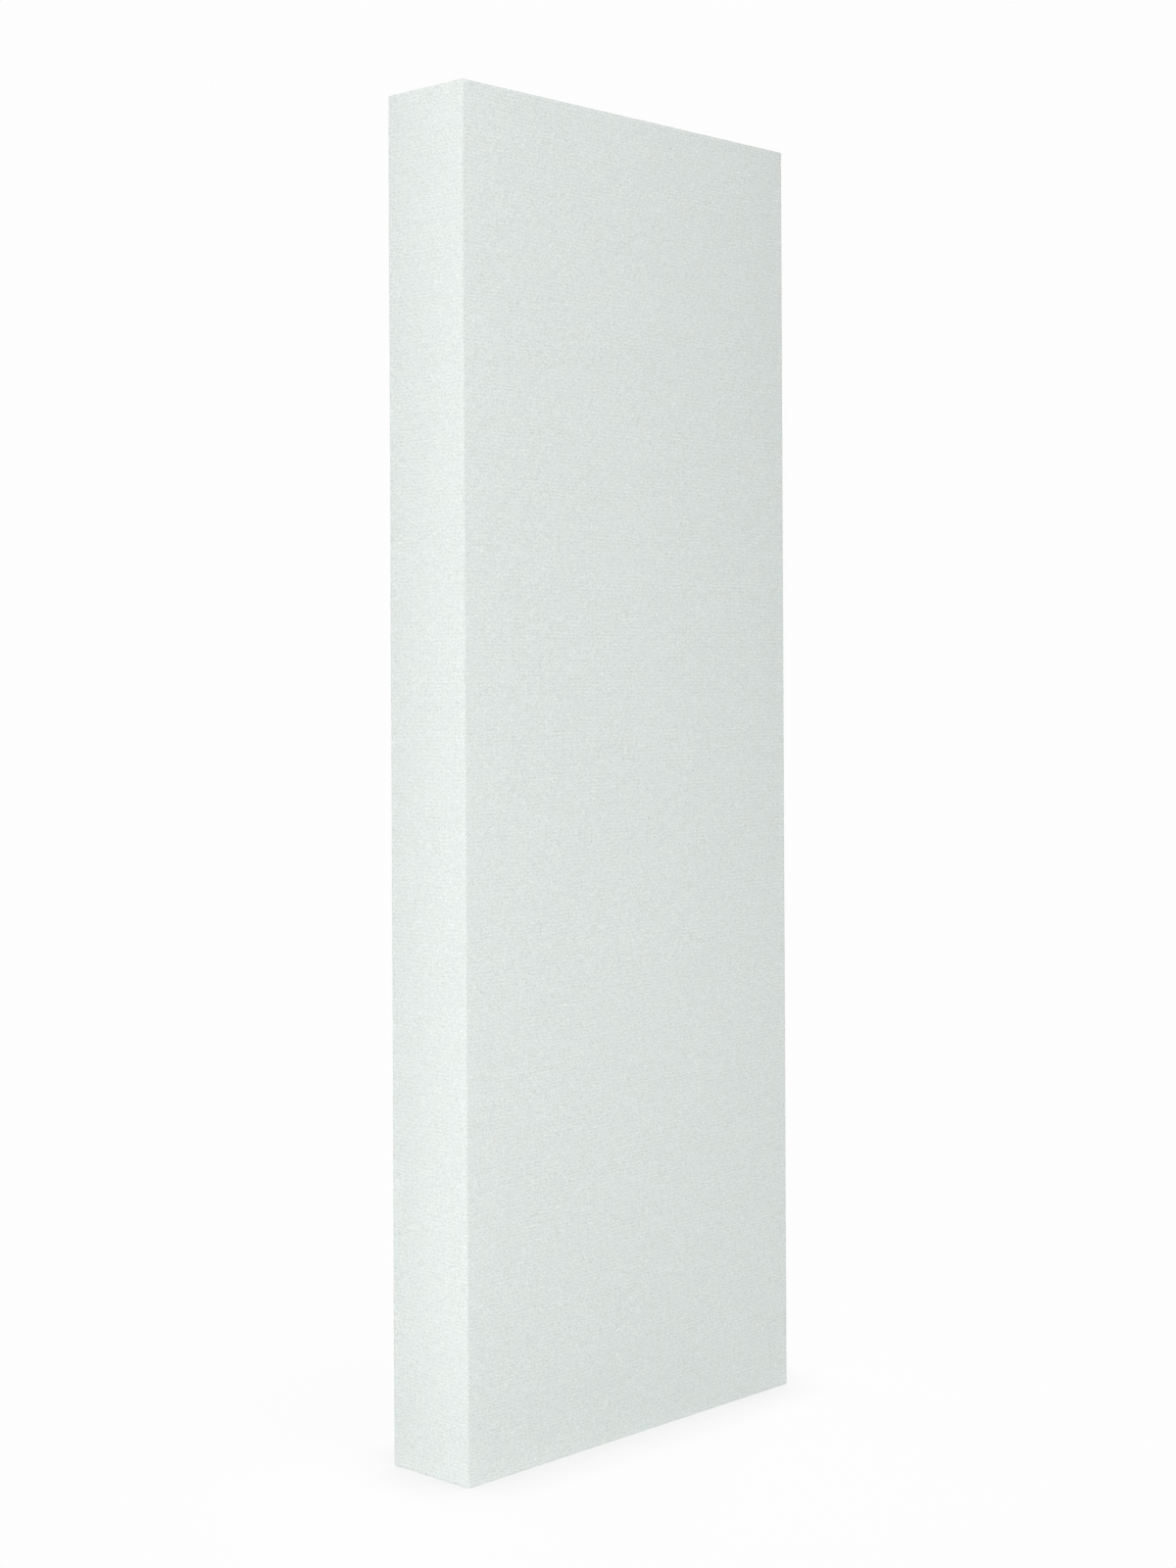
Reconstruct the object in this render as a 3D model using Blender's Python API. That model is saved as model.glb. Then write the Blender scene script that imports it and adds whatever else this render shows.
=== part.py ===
"""Broadband acoustic panel: two mineral wool slabs in a finger-jointed board frame, wrapped in cloth.

Metres, +Z up. The front face looks along -Y, and the panel stands on its bottom edge. The origin is the
middle of the footprint, from the cloth of the front face to the back of the rubber bumpers.
"""

import math

import bmesh
import bpy
from mathutils import Vector

# Outside of the wrapped panel, as seen from the front and the side
PANEL_HEIGHT = 1.200
PANEL_WIDTH = 0.428
PANEL_DEPTH = 0.0942

# Clearance between pieces that seat on each other
SEAT_GAP = 0.0003

# Cloth wrap over the front and the four edges, turned on to the back of the frame
CLOTH_THICKNESS = 0.0008
CLOTH_CORNER_RADIUS = 0.0016
CLOTH_RETURN = 0.0155

# Frame of four boards on edge
BOARD_THICKNESS = 0.018
FINGERS = 9
ARRIS = 0.0008

# Cross braces let into the back of the two stiles
BRACE_THICKNESS = 0.010
BRACE_SEAT = 0.012
HANGING_RAIL_WIDTH = 0.070
HANGING_RAIL_DROP = 0.150
BRACE_WIDTH = 0.045
LOWER_BRACE_RISE = 0.150

# Plywood gussets in the four back corners
GUSSET_THICKNESS = 0.0095
GUSSET_LEG = 0.085
GUSSET_TIP = 0.014

# Absorber: two equal slabs fill what the veil and the braces leave of the frame
VEIL_THICKNESS = 0.0008
SLAB_ARRIS = 0.002

# Dust cover over the back
DUST_COVER_THICKNESS = 0.0005
DUST_COVER_INSET = 0.006
DUST_COVER_SLOPE = 0.004

# Hangers: a strap with an eye rolled round the straight bar of a D-shaped ring
HANGER_SPACING = 0.240
RING_WIRE = 0.0025
RING_WIDTH = 0.022
RING_REACH = 0.019
RING_CORNER = 0.0035
STRAP_WIDTH = 0.013
STRAP_THICKNESS = 0.0010
STRAP_LENGTH = 0.046
STRAP_HOLES = (0.027, 0.039)
EYE_ROLL = 280

# Pan-head screws through the straps and the bumpers
PAN_SHANK = 0.0035
PAN_HEAD = 0.0070
PAN_HEAD_HEIGHT = 0.0022
PAN_RIM = 0.0010
STRAP_SCREW_LENGTH = 0.0095
BUMPER_SCREW_LENGTH = 0.0110
RECESS_WIDTH = 0.0011
RECESS_SPAN = 0.0040
RECESS_DEPTH = 0.0013

# Countersunk screws through the ends of the braces
CSK_SHANK = 0.0035
CSK_HEAD = 0.0068
CSK_HEAD_HEIGHT = 0.0022
CSK_RIM = 0.0004
CSK_LENGTH = 0.032
CSK_EDGE = 0.012

# Points of all the screws
POINT_LENGTH = 0.0035
POINT_RADIUS = 0.00045

# Rubber bumpers that hold the panel off the wall
BUMPER_HEIGHT = 0.0070
BUMPER_BASE = 0.0180
BUMPER_TOP = 0.0150
BUMPER_ROUND = 0.0010
BUMPER_FLOOR = 0.0030
BUMPER_BORE = 0.0088
BUMPER_INSET = 0.030

# Facets of round pieces and rounded edges
SCREW_SIDES = 16
BUMPER_SIDES = 32
EYE_STEPS = 20
BOW_STEPS = 26
CORNER_STEPS = 5
WIRE_RESOLUTION = 3
DOME_STEPS = 4
ROUNDED_STEPS = 3
EASED_STEPS = 2
SMOOTH_UP_TO = math.radians(35)

# How far a cutter runs past the face it opens, and how close two places are to count as one
CUT_OVER = 0.004
SAME_PLACE = 1e-6

# Planes across the depth, from the cloth of the front to the back of the bumpers
LAYERS_BEHIND_FRAME = 2 * SEAT_GAP + DUST_COVER_THICKNESS
FRAME_DEPTH = PANEL_DEPTH - 2 * (CLOTH_THICKNESS + SEAT_GAP)
TOTAL_DEPTH = CLOTH_THICKNESS + SEAT_GAP + FRAME_DEPTH + LAYERS_BEHIND_FRAME + BUMPER_HEIGHT
FRONT_Y = -TOTAL_DEPTH / 2
FRAME_FRONT_Y = FRONT_Y + CLOTH_THICKNESS + SEAT_GAP
FRAME_BACK_Y = FRAME_FRONT_Y + FRAME_DEPTH
CLOTH_BACK_Y = FRONT_Y + PANEL_DEPTH
MOUNT_Y = FRAME_BACK_Y + LAYERS_BEHIND_FRAME

# Frame outline, from the middle of the panel and up from the floor
FRAME_HALF_WIDTH = PANEL_WIDTH / 2 - CLOTH_THICKNESS - SEAT_GAP
FRAME_BOTTOM_Z = CLOTH_THICKNESS + SEAT_GAP
FRAME_TOP_Z = PANEL_HEIGHT - CLOTH_THICKNESS - SEAT_GAP
INNER_HALF_WIDTH = FRAME_HALF_WIDTH - BOARD_THICKNESS
INNER_BOTTOM_Z = FRAME_BOTTOM_Z + BOARD_THICKNESS
INNER_TOP_Z = FRAME_TOP_Z - BOARD_THICKNESS

# Braces, by name: height of the middle and width
BRACES = {
    "hanging_rail": (PANEL_HEIGHT - HANGING_RAIL_DROP, HANGING_RAIL_WIDTH),
    "middle_brace": (PANEL_HEIGHT / 2, BRACE_WIDTH),
    "lower_brace": (LOWER_BRACE_RISE, BRACE_WIDTH),
}

# Eye of a strap: the ring's wire turns in it, and its back touches the mounting plane
EYE_INNER = RING_WIRE / 2 + SEAT_GAP
EYE_OUTER = EYE_INNER + STRAP_THICKNESS
EYE_Y = MOUNT_Y + EYE_OUTER
STRAP_RISE = (STRAP_LENGTH - EYE_OUTER) / 2
EYE_Z = BRACES["hanging_rail"][0] + STRAP_RISE

SIDES = {"left": -1, "right": 1}
LEVELS = {"lower": -1, "upper": 1}

# Turning a shape built in X and Y: to face sideways, to face backwards, or to point out of the back
FACE_SIDEWAYS = (math.radians(90), 0, math.radians(90))
FACE_BACKWARDS = (math.radians(90), 0, 0)
POINT_BACKWARDS = (math.radians(-90), 0, 0)


def clear_scene():
    for obj in list(bpy.data.objects):
        bpy.data.objects.remove(obj)


def make_material(name, colour, roughness, metallic=0.0):
    material = bpy.data.materials.new(name)
    material.use_nodes = True
    shader = material.node_tree.nodes["Principled BSDF"]
    shader.inputs["Base Color"].default_value = (*colour, 1)
    shader.inputs["Roughness"].default_value = roughness
    shader.inputs["Metallic"].default_value = metallic
    return material


def add_object(name, shape, material, location=(0, 0, 0), rotation=(0, 0, 0)):
    """Adds a mesh or curve to the scene as one named piece."""
    if isinstance(shape, bmesh.types.BMesh):
        bmesh.ops.recalc_face_normals(shape, faces=shape.faces)
        mesh = bpy.data.meshes.new(name)
        shape.to_mesh(mesh)
        shape.free()
        shape = mesh
    obj = bpy.data.objects.new(name, shape)
    obj.location = location
    obj.rotation_euler = rotation
    if material and not shape.materials:
        shape.materials.append(material)
    bpy.context.scene.collection.objects.link(obj)
    return obj


def smooth(obj):
    """Shades a round piece smooth, with its sharp edges kept."""
    obj.data.shade_smooth()
    obj.data.set_sharp_from_angle(angle=SMOOTH_UP_TO)
    return obj


def prism(outline, thickness):
    """A flat outline in X and Y, extruded from Z = 0 up to the thickness."""
    shape = bmesh.new()
    face = shape.faces.new([shape.verts.new((x, y, 0)) for x, y in outline])
    extruded = bmesh.ops.extrude_face_region(shape, geom=[face])
    top = [v for v in extruded["geom"] if isinstance(v, bmesh.types.BMVert)]
    bmesh.ops.translate(shape, verts=top, vec=(0, 0, thickness))
    return shape


def block(low, high):
    """A box between two corners."""
    shape = bmesh.new()
    bmesh.ops.create_cube(shape, size=1)
    low, high = Vector(low), Vector(high)
    for v in shape.verts:
        v.co = Vector([(low[i] + high[i]) / 2 + v.co[i] * (high[i] - low[i]) for i in range(3)])
    return shape


def rounded_block(low, high, radius, segments):
    """A box whose twelve edges are rounded."""
    shape = block(low, high)
    bmesh.ops.bevel(
        shape, geom=list(shape.edges), offset=radius, segments=segments, affect="EDGES", profile=0.5
    )
    return shape


def turned(profile, sides):
    """A profile of (radius, height) points from axis to axis, spun round Z."""
    shape = bmesh.new()
    points = [shape.verts.new((radius, 0, height)) for radius, height in profile]
    edges = [shape.edges.new(pair) for pair in zip(points[:-1], points[1:])]
    bmesh.ops.spin(
        shape, geom=points + edges, axis=(0, 0, 1), cent=(0, 0, 0), steps=sides, angle=math.tau
    )
    bmesh.ops.remove_doubles(shape, verts=shape.verts, dist=SAME_PLACE)
    return shape


def arc(centre, radius, start, end, steps):
    """Points of an arc, with its angles in degrees."""
    angles = [math.radians(start + (end - start) * i / steps) for i in range(steps + 1)]
    return [(centre[0] + radius * math.cos(a), centre[1] + radius * math.sin(a)) for a in angles]


def add_cutter(name, shape, location=(0, 0, 0), rotation=(0, 0, 0)):
    cutter = add_object(name, shape, None, location, rotation)
    cutter.hide_render = True
    cutter.display_type = "WIRE"
    return cutter


def cut(obj, cutter):
    """Takes the cutter's shape out of a piece, in one Boolean for all of the piece's cutters."""
    name = f"cuts_in_{obj.name}"
    cutters = bpy.data.collections.get(name)
    if cutters is None:
        cutters = bpy.data.collections.new(name)
        modifier = obj.modifiers.new("cuts", "BOOLEAN")
        modifier.operand_type = "COLLECTION"
        modifier.collection = cutters
        modifier.operation = "DIFFERENCE"
        modifier.solver = "EXACT"
    cutters.objects.link(cutter)


def keep_within(obj, cutter):
    """Leaves only what of a piece lies inside the cutter."""
    modifier = obj.modifiers.new("outline", "BOOLEAN")
    modifier.object = cutter
    modifier.operation = "INTERSECT"
    modifier.solver = "EXACT"


def drill(obj, name, diameter, location, rotation, depth):
    """Cuts a round hole whose mouth is at the location, going down from it along the turned -Z."""
    hole = bmesh.new()
    bmesh.ops.create_cone(
        hole, cap_ends=True, segments=SCREW_SIDES, radius1=diameter / 2, radius2=diameter / 2,
        depth=depth + CUT_OVER,
    )
    bmesh.ops.translate(hole, verts=hole.verts, vec=(0, 0, (CUT_OVER - depth) / 2))
    cut(obj, add_cutter(name, hole, location, rotation))


def finger_outline(length, keeps_first, joint_depth):
    """Outline of a board seen edge on: X across the frame's depth, Y along the board, both ends notched.

    Fingers share the depth equally. This board keeps every second one, from the first or the second on.
    """
    pitch = FRAME_DEPTH / FINGERS
    steps = []
    for i in range(FINGERS):
        low, high = i * pitch, (i + 1) * pitch
        kept = (i % 2 == 0) == keeps_first
        if kept:
            low += SEAT_GAP / 2 if i else 0
            high -= SEAT_GAP / 2 if i < FINGERS - 1 else 0
        else:
            low -= SEAT_GAP / 2 if i else 0
            high += SEAT_GAP / 2 if i < FINGERS - 1 else 0
        inset = 0 if kept else joint_depth
        steps += [(low, inset), (high, inset)]
    bottom = [(x, inset) for x, inset in steps]
    top = [(x, length - inset) for x, inset in reversed(steps)]
    return bottom + top


def ease_long_edges(shape, along, outer):
    """Takes the sharpness off the two outer long edges of a board, where the cloth bends over it."""
    across = 1 - along
    edges = []
    for edge in shape.edges:
        first, second = (v.co for v in edge.verts)
        runs_along = abs(first[across] - second[across]) < SAME_PLACE
        on_outer_face = max(abs(first.z - outer), abs(second.z - outer)) < SAME_PLACE
        at_front_or_back = min(abs(first[across]), abs(first[across] - FRAME_DEPTH)) < SAME_PLACE
        if runs_along and on_outer_face and at_front_or_back:
            edges.append(edge)
    bmesh.ops.bevel(shape, geom=edges, offset=ARRIS, segments=EASED_STEPS, affect="EDGES", profile=0.5)
    return shape


def make_stile(side, sign, material):
    """An upright board, with the first finger, notched for the braces in its back edge."""
    height = FRAME_TOP_Z - FRAME_BOTTOM_Z
    shape = prism(finger_outline(height, True, BOARD_THICKNESS + SEAT_GAP), BOARD_THICKNESS)
    ease_long_edges(shape, 1, BOARD_THICKNESS if sign > 0 else 0)
    x = INNER_HALF_WIDTH if sign > 0 else -FRAME_HALF_WIDTH
    stile = add_object(f"{side}_stile", shape, material, (x, FRAME_FRONT_Y, FRAME_BOTTOM_Z), FACE_SIDEWAYS)
    for brace, (middle, width) in BRACES.items():
        reach = sorted([
            sign * (INNER_HALF_WIDTH - CUT_OVER),
            sign * (INNER_HALF_WIDTH + BRACE_SEAT + SEAT_GAP),
        ])
        housing = block(
            (reach[0], FRAME_BACK_Y - BRACE_THICKNESS - SEAT_GAP, middle - width / 2 - SEAT_GAP),
            (reach[1], FRAME_BACK_Y + CUT_OVER, middle + width / 2 + SEAT_GAP),
        )
        cut(stile, add_cutter(f"housing_{brace}_{side}", housing))
    return stile


def make_rail(name, low_z, outer, material):
    """A cross board at the top or bottom, with the second finger."""
    outline = finger_outline(2 * FRAME_HALF_WIDTH, False, BOARD_THICKNESS + SEAT_GAP)
    shape = prism([(y - FRAME_HALF_WIDTH, x) for x, y in outline], BOARD_THICKNESS)
    ease_long_edges(shape, 0, outer)
    return add_object(name, shape, material, (0, FRAME_FRONT_Y, low_z))


def brace_screws(middle, width):
    """Places of a brace's four screws, as (side, level, x, z)."""
    x = INNER_HALF_WIDTH + BRACE_SEAT / 2
    z = width / 2 - CSK_EDGE
    return [
        (side, level, across * x, middle + up * z)
        for side, across in SIDES.items()
        for level, up in LEVELS.items()
    ]


def make_brace(name, middle, width, stiles, material, screw_material, screw_mesh):
    """A cross board flat in the back of the frame, its ends housed in the stiles and screwed down."""
    half = INNER_HALF_WIDTH + BRACE_SEAT
    shape = prism([(-half, -width / 2), (half, -width / 2), (half, width / 2), (-half, width / 2)],
                  BRACE_THICKNESS)
    brace = add_object(name, shape, material, (0, FRAME_BACK_Y, middle), FACE_BACKWARDS)
    for side, level, x, z in brace_screws(middle, width):
        place = (x, FRAME_BACK_Y - SEAT_GAP, z)
        label = f"{name}_screw_{level}_{side}"
        seat = add_cutter(f"seat_{label}", turned(csk_profile(SEAT_GAP), SCREW_SIDES), place, POINT_BACKWARDS)
        cut(brace, seat)
        cut(stiles[side], seat)
        screw = add_object(label, screw_mesh, screw_material, place, POINT_BACKWARDS)
        smooth(screw)
    return brace


def csk_profile(spare):
    """Countersunk screw from its point up to its flat head; spare grows it into the hole it goes in."""
    shank, head = CSK_SHANK / 2 + spare, CSK_HEAD / 2 + spare
    top = CUT_OVER if spare else 0
    return [
        (0, -CSK_LENGTH - spare),
        (POINT_RADIUS + spare, -CSK_LENGTH - spare),
        (shank, -CSK_LENGTH + POINT_LENGTH - spare),
        (shank, -CSK_HEAD_HEIGHT - spare),
        (head, -CSK_RIM - spare),
        (head, top),
        (0, top),
    ]


def make_gusset(name, side, level, material):
    """A triangle of plywood with blunt tips, glued in a back corner of the frame."""
    leg = GUSSET_LEG
    outline = [(0, 0), (leg, 0), (leg, GUSSET_TIP), (GUSSET_TIP, leg), (0, leg)]
    outline = [(-side * (x + SEAT_GAP), -level * (z + SEAT_GAP)) for x, z in outline]
    corner = (side * INNER_HALF_WIDTH, FRAME_BACK_Y, INNER_TOP_Z if level > 0 else INNER_BOTTOM_Z)
    return add_object(name, prism(outline, GUSSET_THICKNESS), material, corner, FACE_BACKWARDS)


def make_core(wool, veil):
    """Two slabs between the frame boards, with a thin veil over the front one."""
    low_x, high_x = -INNER_HALF_WIDTH + SEAT_GAP, INNER_HALF_WIDTH - SEAT_GAP
    low_z, high_z = INNER_BOTTOM_Z + SEAT_GAP, INNER_TOP_Z - SEAT_GAP
    veil_back = FRAME_FRONT_Y + VEIL_THICKNESS
    add_object("fibre_veil", block((low_x, FRAME_FRONT_Y, low_z), (high_x, veil_back, high_z)), veil)
    core_back = FRAME_BACK_Y - BRACE_THICKNESS - SEAT_GAP
    slab = (core_back - veil_back - 2 * SEAT_GAP) / 2
    front = veil_back + SEAT_GAP
    for name in ("front_wool_slab", "back_wool_slab"):
        shape = rounded_block((low_x, front, low_z), (high_x, front + slab, high_z), SLAB_ARRIS, EASED_STEPS)
        add_object(name, shape, wool)
        front += slab + SEAT_GAP


def make_cloth_wrap(cloth):
    """One sheet over the front and the four edges, open behind inside its turned-in border."""
    half = PANEL_WIDTH / 2
    outside = rounded_block(
        (-half, FRONT_Y, 0), (half, CLOTH_BACK_Y, PANEL_HEIGHT), CLOTH_CORNER_RADIUS, ROUNDED_STEPS
    )
    wrap = add_object("cloth_wrap", outside, cloth)
    t = CLOTH_THICKNESS
    inside = rounded_block(
        (-half + t, FRONT_Y + t, t), (half - t, CLOTH_BACK_Y - t, PANEL_HEIGHT - t),
        CLOTH_CORNER_RADIUS - t, EASED_STEPS,
    )
    cut(wrap, add_cutter("space_in_wrap", inside))
    edge = t + SEAT_GAP + CLOTH_RETURN
    window = block(
        (-half + edge, CLOTH_BACK_Y - CUT_OVER, edge),
        (half - edge, CLOTH_BACK_Y + CUT_OVER, PANEL_HEIGHT - edge),
    )
    cut(wrap, add_cutter("window_in_wrap", window))
    return wrap


def make_dust_cover(fleece):
    """A sheet that lies on the cloth's turned-in border and steps down on to the braces."""
    step = CLOTH_THICKNESS + SEAT_GAP
    edge = CLOTH_THICKNESS + SEAT_GAP + CLOTH_RETURN + SEAT_GAP
    rings = []
    shape = bmesh.new()
    for inset, y in (
        (DUST_COVER_INSET, FRAME_BACK_Y + SEAT_GAP + step),
        (edge, FRAME_BACK_Y + SEAT_GAP + step),
        (edge + DUST_COVER_SLOPE, FRAME_BACK_Y + SEAT_GAP),
    ):
        half, low, high = PANEL_WIDTH / 2 - inset, inset, PANEL_HEIGHT - inset
        rings.append([
            shape.verts.new((x, y, z)) for x, z in ((-half, low), (half, low), (half, high), (-half, high))
        ])
    for outer, inner in zip(rings[:-1], rings[1:]):
        for i in range(4):
            j = (i + 1) % 4
            shape.faces.new((outer[i], inner[i], inner[j], outer[j]))
    shape.faces.new(list(reversed(rings[-1])))
    layer = bmesh.ops.extrude_face_region(shape, geom=list(shape.faces))
    moved = [v for v in layer["geom"] if isinstance(v, bmesh.types.BMVert)]
    bmesh.ops.translate(shape, verts=moved, vec=(0, DUST_COVER_THICKNESS, 0))
    return add_object("dust_cover", shape, fleece)


def pan_profile():
    """Pan-head screw from its point to its domed head, whose underside is at height 0."""
    shank, head = PAN_SHANK / 2, PAN_HEAD / 2
    dome = [
        (across * head, PAN_RIM + up * (PAN_HEAD_HEIGHT - PAN_RIM))
        for across, up in arc((0, 0), 1, 0, 90, DOME_STEPS)
    ]
    return [(shank, 0), (head, 0)] + dome


def pan_screw_mesh(length, material):
    """A pan-head screw with a cross recess, made once and shared by its copies."""
    shank = PAN_SHANK / 2
    point = [(0, -length), (POINT_RADIUS, -length), (shank, -length + POINT_LENGTH)]
    screw = add_object("screw_pattern", turned(point + pan_profile(), SCREW_SIDES), material)
    for turn in (0, 90):
        slot = block(
            (-RECESS_SPAN / 2, -RECESS_WIDTH / 2, PAN_HEAD_HEIGHT - RECESS_DEPTH),
            (RECESS_SPAN / 2, RECESS_WIDTH / 2, PAN_HEAD_HEIGHT + CUT_OVER),
        )
        cut(screw, add_cutter(f"slot_{turn}", slot, rotation=(0, 0, math.radians(turn))))
    graph = bpy.context.evaluated_depsgraph_get()
    mesh = bpy.data.meshes.new_from_object(screw.evaluated_get(graph))
    for helper in [screw, *bpy.data.collections["cuts_in_screw_pattern"].objects]:
        bpy.data.objects.remove(helper)
    bpy.data.collections.remove(bpy.data.collections["cuts_in_screw_pattern"])
    return mesh


def make_ring(side, x, steel):
    """A D of wire on the pivot axis, hanging down from its straight bar."""
    half, corner = RING_WIDTH / 2, RING_CORNER
    left = arc((-half + corner, -corner), corner, 90, 180, CORNER_STEPS)
    right = arc((half - corner, -corner), corner, 0, 90, CORNER_STEPS)
    bow = [
        (half * a, -corner + (RING_REACH - corner) * b)
        for a, b in arc((0, 0), 1, 180, 360, BOW_STEPS)[1:-1]
    ]
    points = left + bow + right
    curve = bpy.data.curves.new(f"{side}_ring", "CURVE")
    curve.dimensions = "3D"
    curve.bevel_depth = RING_WIRE / 2
    curve.bevel_resolution = WIRE_RESOLUTION
    spline = curve.splines.new("POLY")
    spline.points.add(len(points) - 1)
    for point, (across, up) in zip(spline.points, points):
        point.co = (across, 0, up, 1)
    spline.use_cyclic_u = True
    return add_object(f"{side}_hanger_ring", curve, steel, (x, EYE_Y, EYE_Z))


def make_strap(side, x, rail, steel, screw_mesh):
    """A strip of steel whose top is rolled round the ring's bar, screwed to the hanging rail."""
    outer = arc((0, 0), EYE_OUTER, 180, 180 - EYE_ROLL, EYE_STEPS)
    inner = arc((0, 0), EYE_INNER, 180 - EYE_ROLL, 180, EYE_STEPS)
    outline = [(-EYE_OUTER, -STRAP_LENGTH)] + outer + inner + [(-EYE_INNER, -STRAP_LENGTH)]
    shape = prism(outline, STRAP_WIDTH)
    bmesh.ops.translate(shape, verts=shape.verts, vec=(0, 0, -STRAP_WIDTH / 2))
    strap = add_object(f"{side}_hanger_strap", shape, steel, (x, EYE_Y, EYE_Z), FACE_SIDEWAYS)
    half = STRAP_WIDTH / 2
    rounded_end = arc((0, -STRAP_LENGTH + half), half, 180, 360, SCREW_SIDES)
    blank = [(-half - CUT_OVER, EYE_OUTER + CUT_OVER), (-half - CUT_OVER, -STRAP_LENGTH + half)]
    blank += rounded_end
    blank += [(half + CUT_OVER, -STRAP_LENGTH + half), (half + CUT_OVER, EYE_OUTER + CUT_OVER)]
    form = prism(blank, 2 * EYE_OUTER + 2 * CUT_OVER)
    keep = add_cutter(f"{side}_strap_blank", form, (x, EYE_Y + EYE_OUTER + CUT_OVER, EYE_Z), FACE_BACKWARDS)
    keep_within(strap, keep)
    for number, down in enumerate(STRAP_HOLES, 1):
        z = EYE_Z - down
        head_seat = MOUNT_Y + STRAP_THICKNESS + SEAT_GAP
        place = (x, head_seat, z)
        hole = PAN_SHANK + 2 * SEAT_GAP
        for piece in (strap, rail, bpy.data.objects["dust_cover"]):
            drill(piece, f"hole_{piece.name}_{side}_{number}", hole, place, POINT_BACKWARDS,
                  STRAP_SCREW_LENGTH + SEAT_GAP)
        smooth(add_object(f"{side}_strap_screw_{number}", screw_mesh, steel, place, POINT_BACKWARDS))
    return strap


def make_bumper(name, x, z, gusset, rubber, steel, screw_mesh):
    """A tapered rubber foot whose screw sits down in its bore, behind a gusset."""
    hole = PAN_SHANK / 2 + SEAT_GAP
    top, base = BUMPER_TOP / 2, BUMPER_BASE / 2
    rounding = arc((top - BUMPER_ROUND, BUMPER_HEIGHT - BUMPER_ROUND), BUMPER_ROUND, 0, 90, ROUNDED_STEPS)
    bore = BUMPER_BORE / 2
    profile = [(hole, 0), (base, 0)] + rounding + [
        (bore, BUMPER_HEIGHT), (bore, BUMPER_FLOOR), (hole, BUMPER_FLOOR), (hole, 0)
    ]
    shape = turned(profile, BUMPER_SIDES)
    smooth(add_object(name, shape, rubber, (x, MOUNT_Y, z), POINT_BACKWARDS))
    place = (x, MOUNT_Y + BUMPER_FLOOR + SEAT_GAP, z)
    for piece in (gusset, bpy.data.objects["dust_cover"]):
        drill(piece, f"hole_{piece.name}_{name}", PAN_SHANK + 2 * SEAT_GAP, place, POINT_BACKWARDS,
              BUMPER_SCREW_LENGTH + SEAT_GAP)
    smooth(add_object(f"{name}_screw", screw_mesh, steel, place, POINT_BACKWARDS))


def main():
    clear_scene()
    cloth = make_material("pale_cloth", (0.69, 0.74, 0.71), 0.95)
    fleece = make_material("black_fleece", (0.02, 0.02, 0.022), 0.95)
    board = make_material("birch_board", (0.60, 0.43, 0.26), 0.65)
    wool = make_material("mineral_wool", (0.42, 0.38, 0.24), 1.0)
    tissue = make_material("glass_tissue", (0.78, 0.78, 0.74), 0.9)
    steel = make_material("zinc_steel", (0.62, 0.63, 0.64), 0.32, 1.0)
    rubber = make_material("black_rubber", (0.018, 0.018, 0.018), 0.7)

    stiles = {side: make_stile(side, sign, board) for side, sign in SIDES.items()}
    make_rail("top_rail", INNER_TOP_Z, BOARD_THICKNESS, board)
    make_rail("bottom_rail", FRAME_BOTTOM_Z, 0, board)

    csk_mesh = bpy.data.meshes.new("countersunk_screw")
    csk_shape = turned(csk_profile(0), SCREW_SIDES)
    bmesh.ops.recalc_face_normals(csk_shape, faces=csk_shape.faces)
    csk_shape.to_mesh(csk_mesh)
    csk_shape.free()
    braces = {
        name: make_brace(name, middle, width, stiles, board, steel, csk_mesh)
        for name, (middle, width) in BRACES.items()
    }

    make_core(wool, tissue)
    make_cloth_wrap(cloth)
    make_dust_cover(fleece)

    strap_screw = pan_screw_mesh(STRAP_SCREW_LENGTH, steel)
    for side, sign in SIDES.items():
        x = sign * HANGER_SPACING / 2
        make_ring(side, x, steel)
        make_strap(side, x, braces["hanging_rail"], steel, strap_screw)

    bumper_screw = pan_screw_mesh(BUMPER_SCREW_LENGTH, steel)
    for level, up in LEVELS.items():
        for side, across in SIDES.items():
            gusset = make_gusset(f"{level}_{side}_gusset", across, up, board)
            x = across * (INNER_HALF_WIDTH - BUMPER_INSET)
            z = INNER_TOP_Z - BUMPER_INSET if up > 0 else INNER_BOTTOM_Z + BUMPER_INSET
            make_bumper(f"{level}_{side}_bumper", x, z, gusset, rubber, steel, bumper_screw)


main()
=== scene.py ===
# %% [markdown]
# # A broadband acoustic panel
# The real object is a tall, shallow box that hangs on a studio wall. Two slabs of mineral wool fill a
# wooden frame, a veil holds their fibres back, and one cut of pale woven cloth is pulled over the front
# and stapled behind. A black dust cover, two hanging rings and four rubber bumpers finish the back.
#
# The wooden frame, the screws, the rings and the bumpers come ready made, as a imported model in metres.
# This lesson loads them as a fixed frame. It then makes what a solid model can't show: cloth that folds at
# the corners, fleece that sags between the braces, staples, and a believable finish on every surface.

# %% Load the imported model
import math

import bmesh
import bpy
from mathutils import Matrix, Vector, noise


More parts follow.
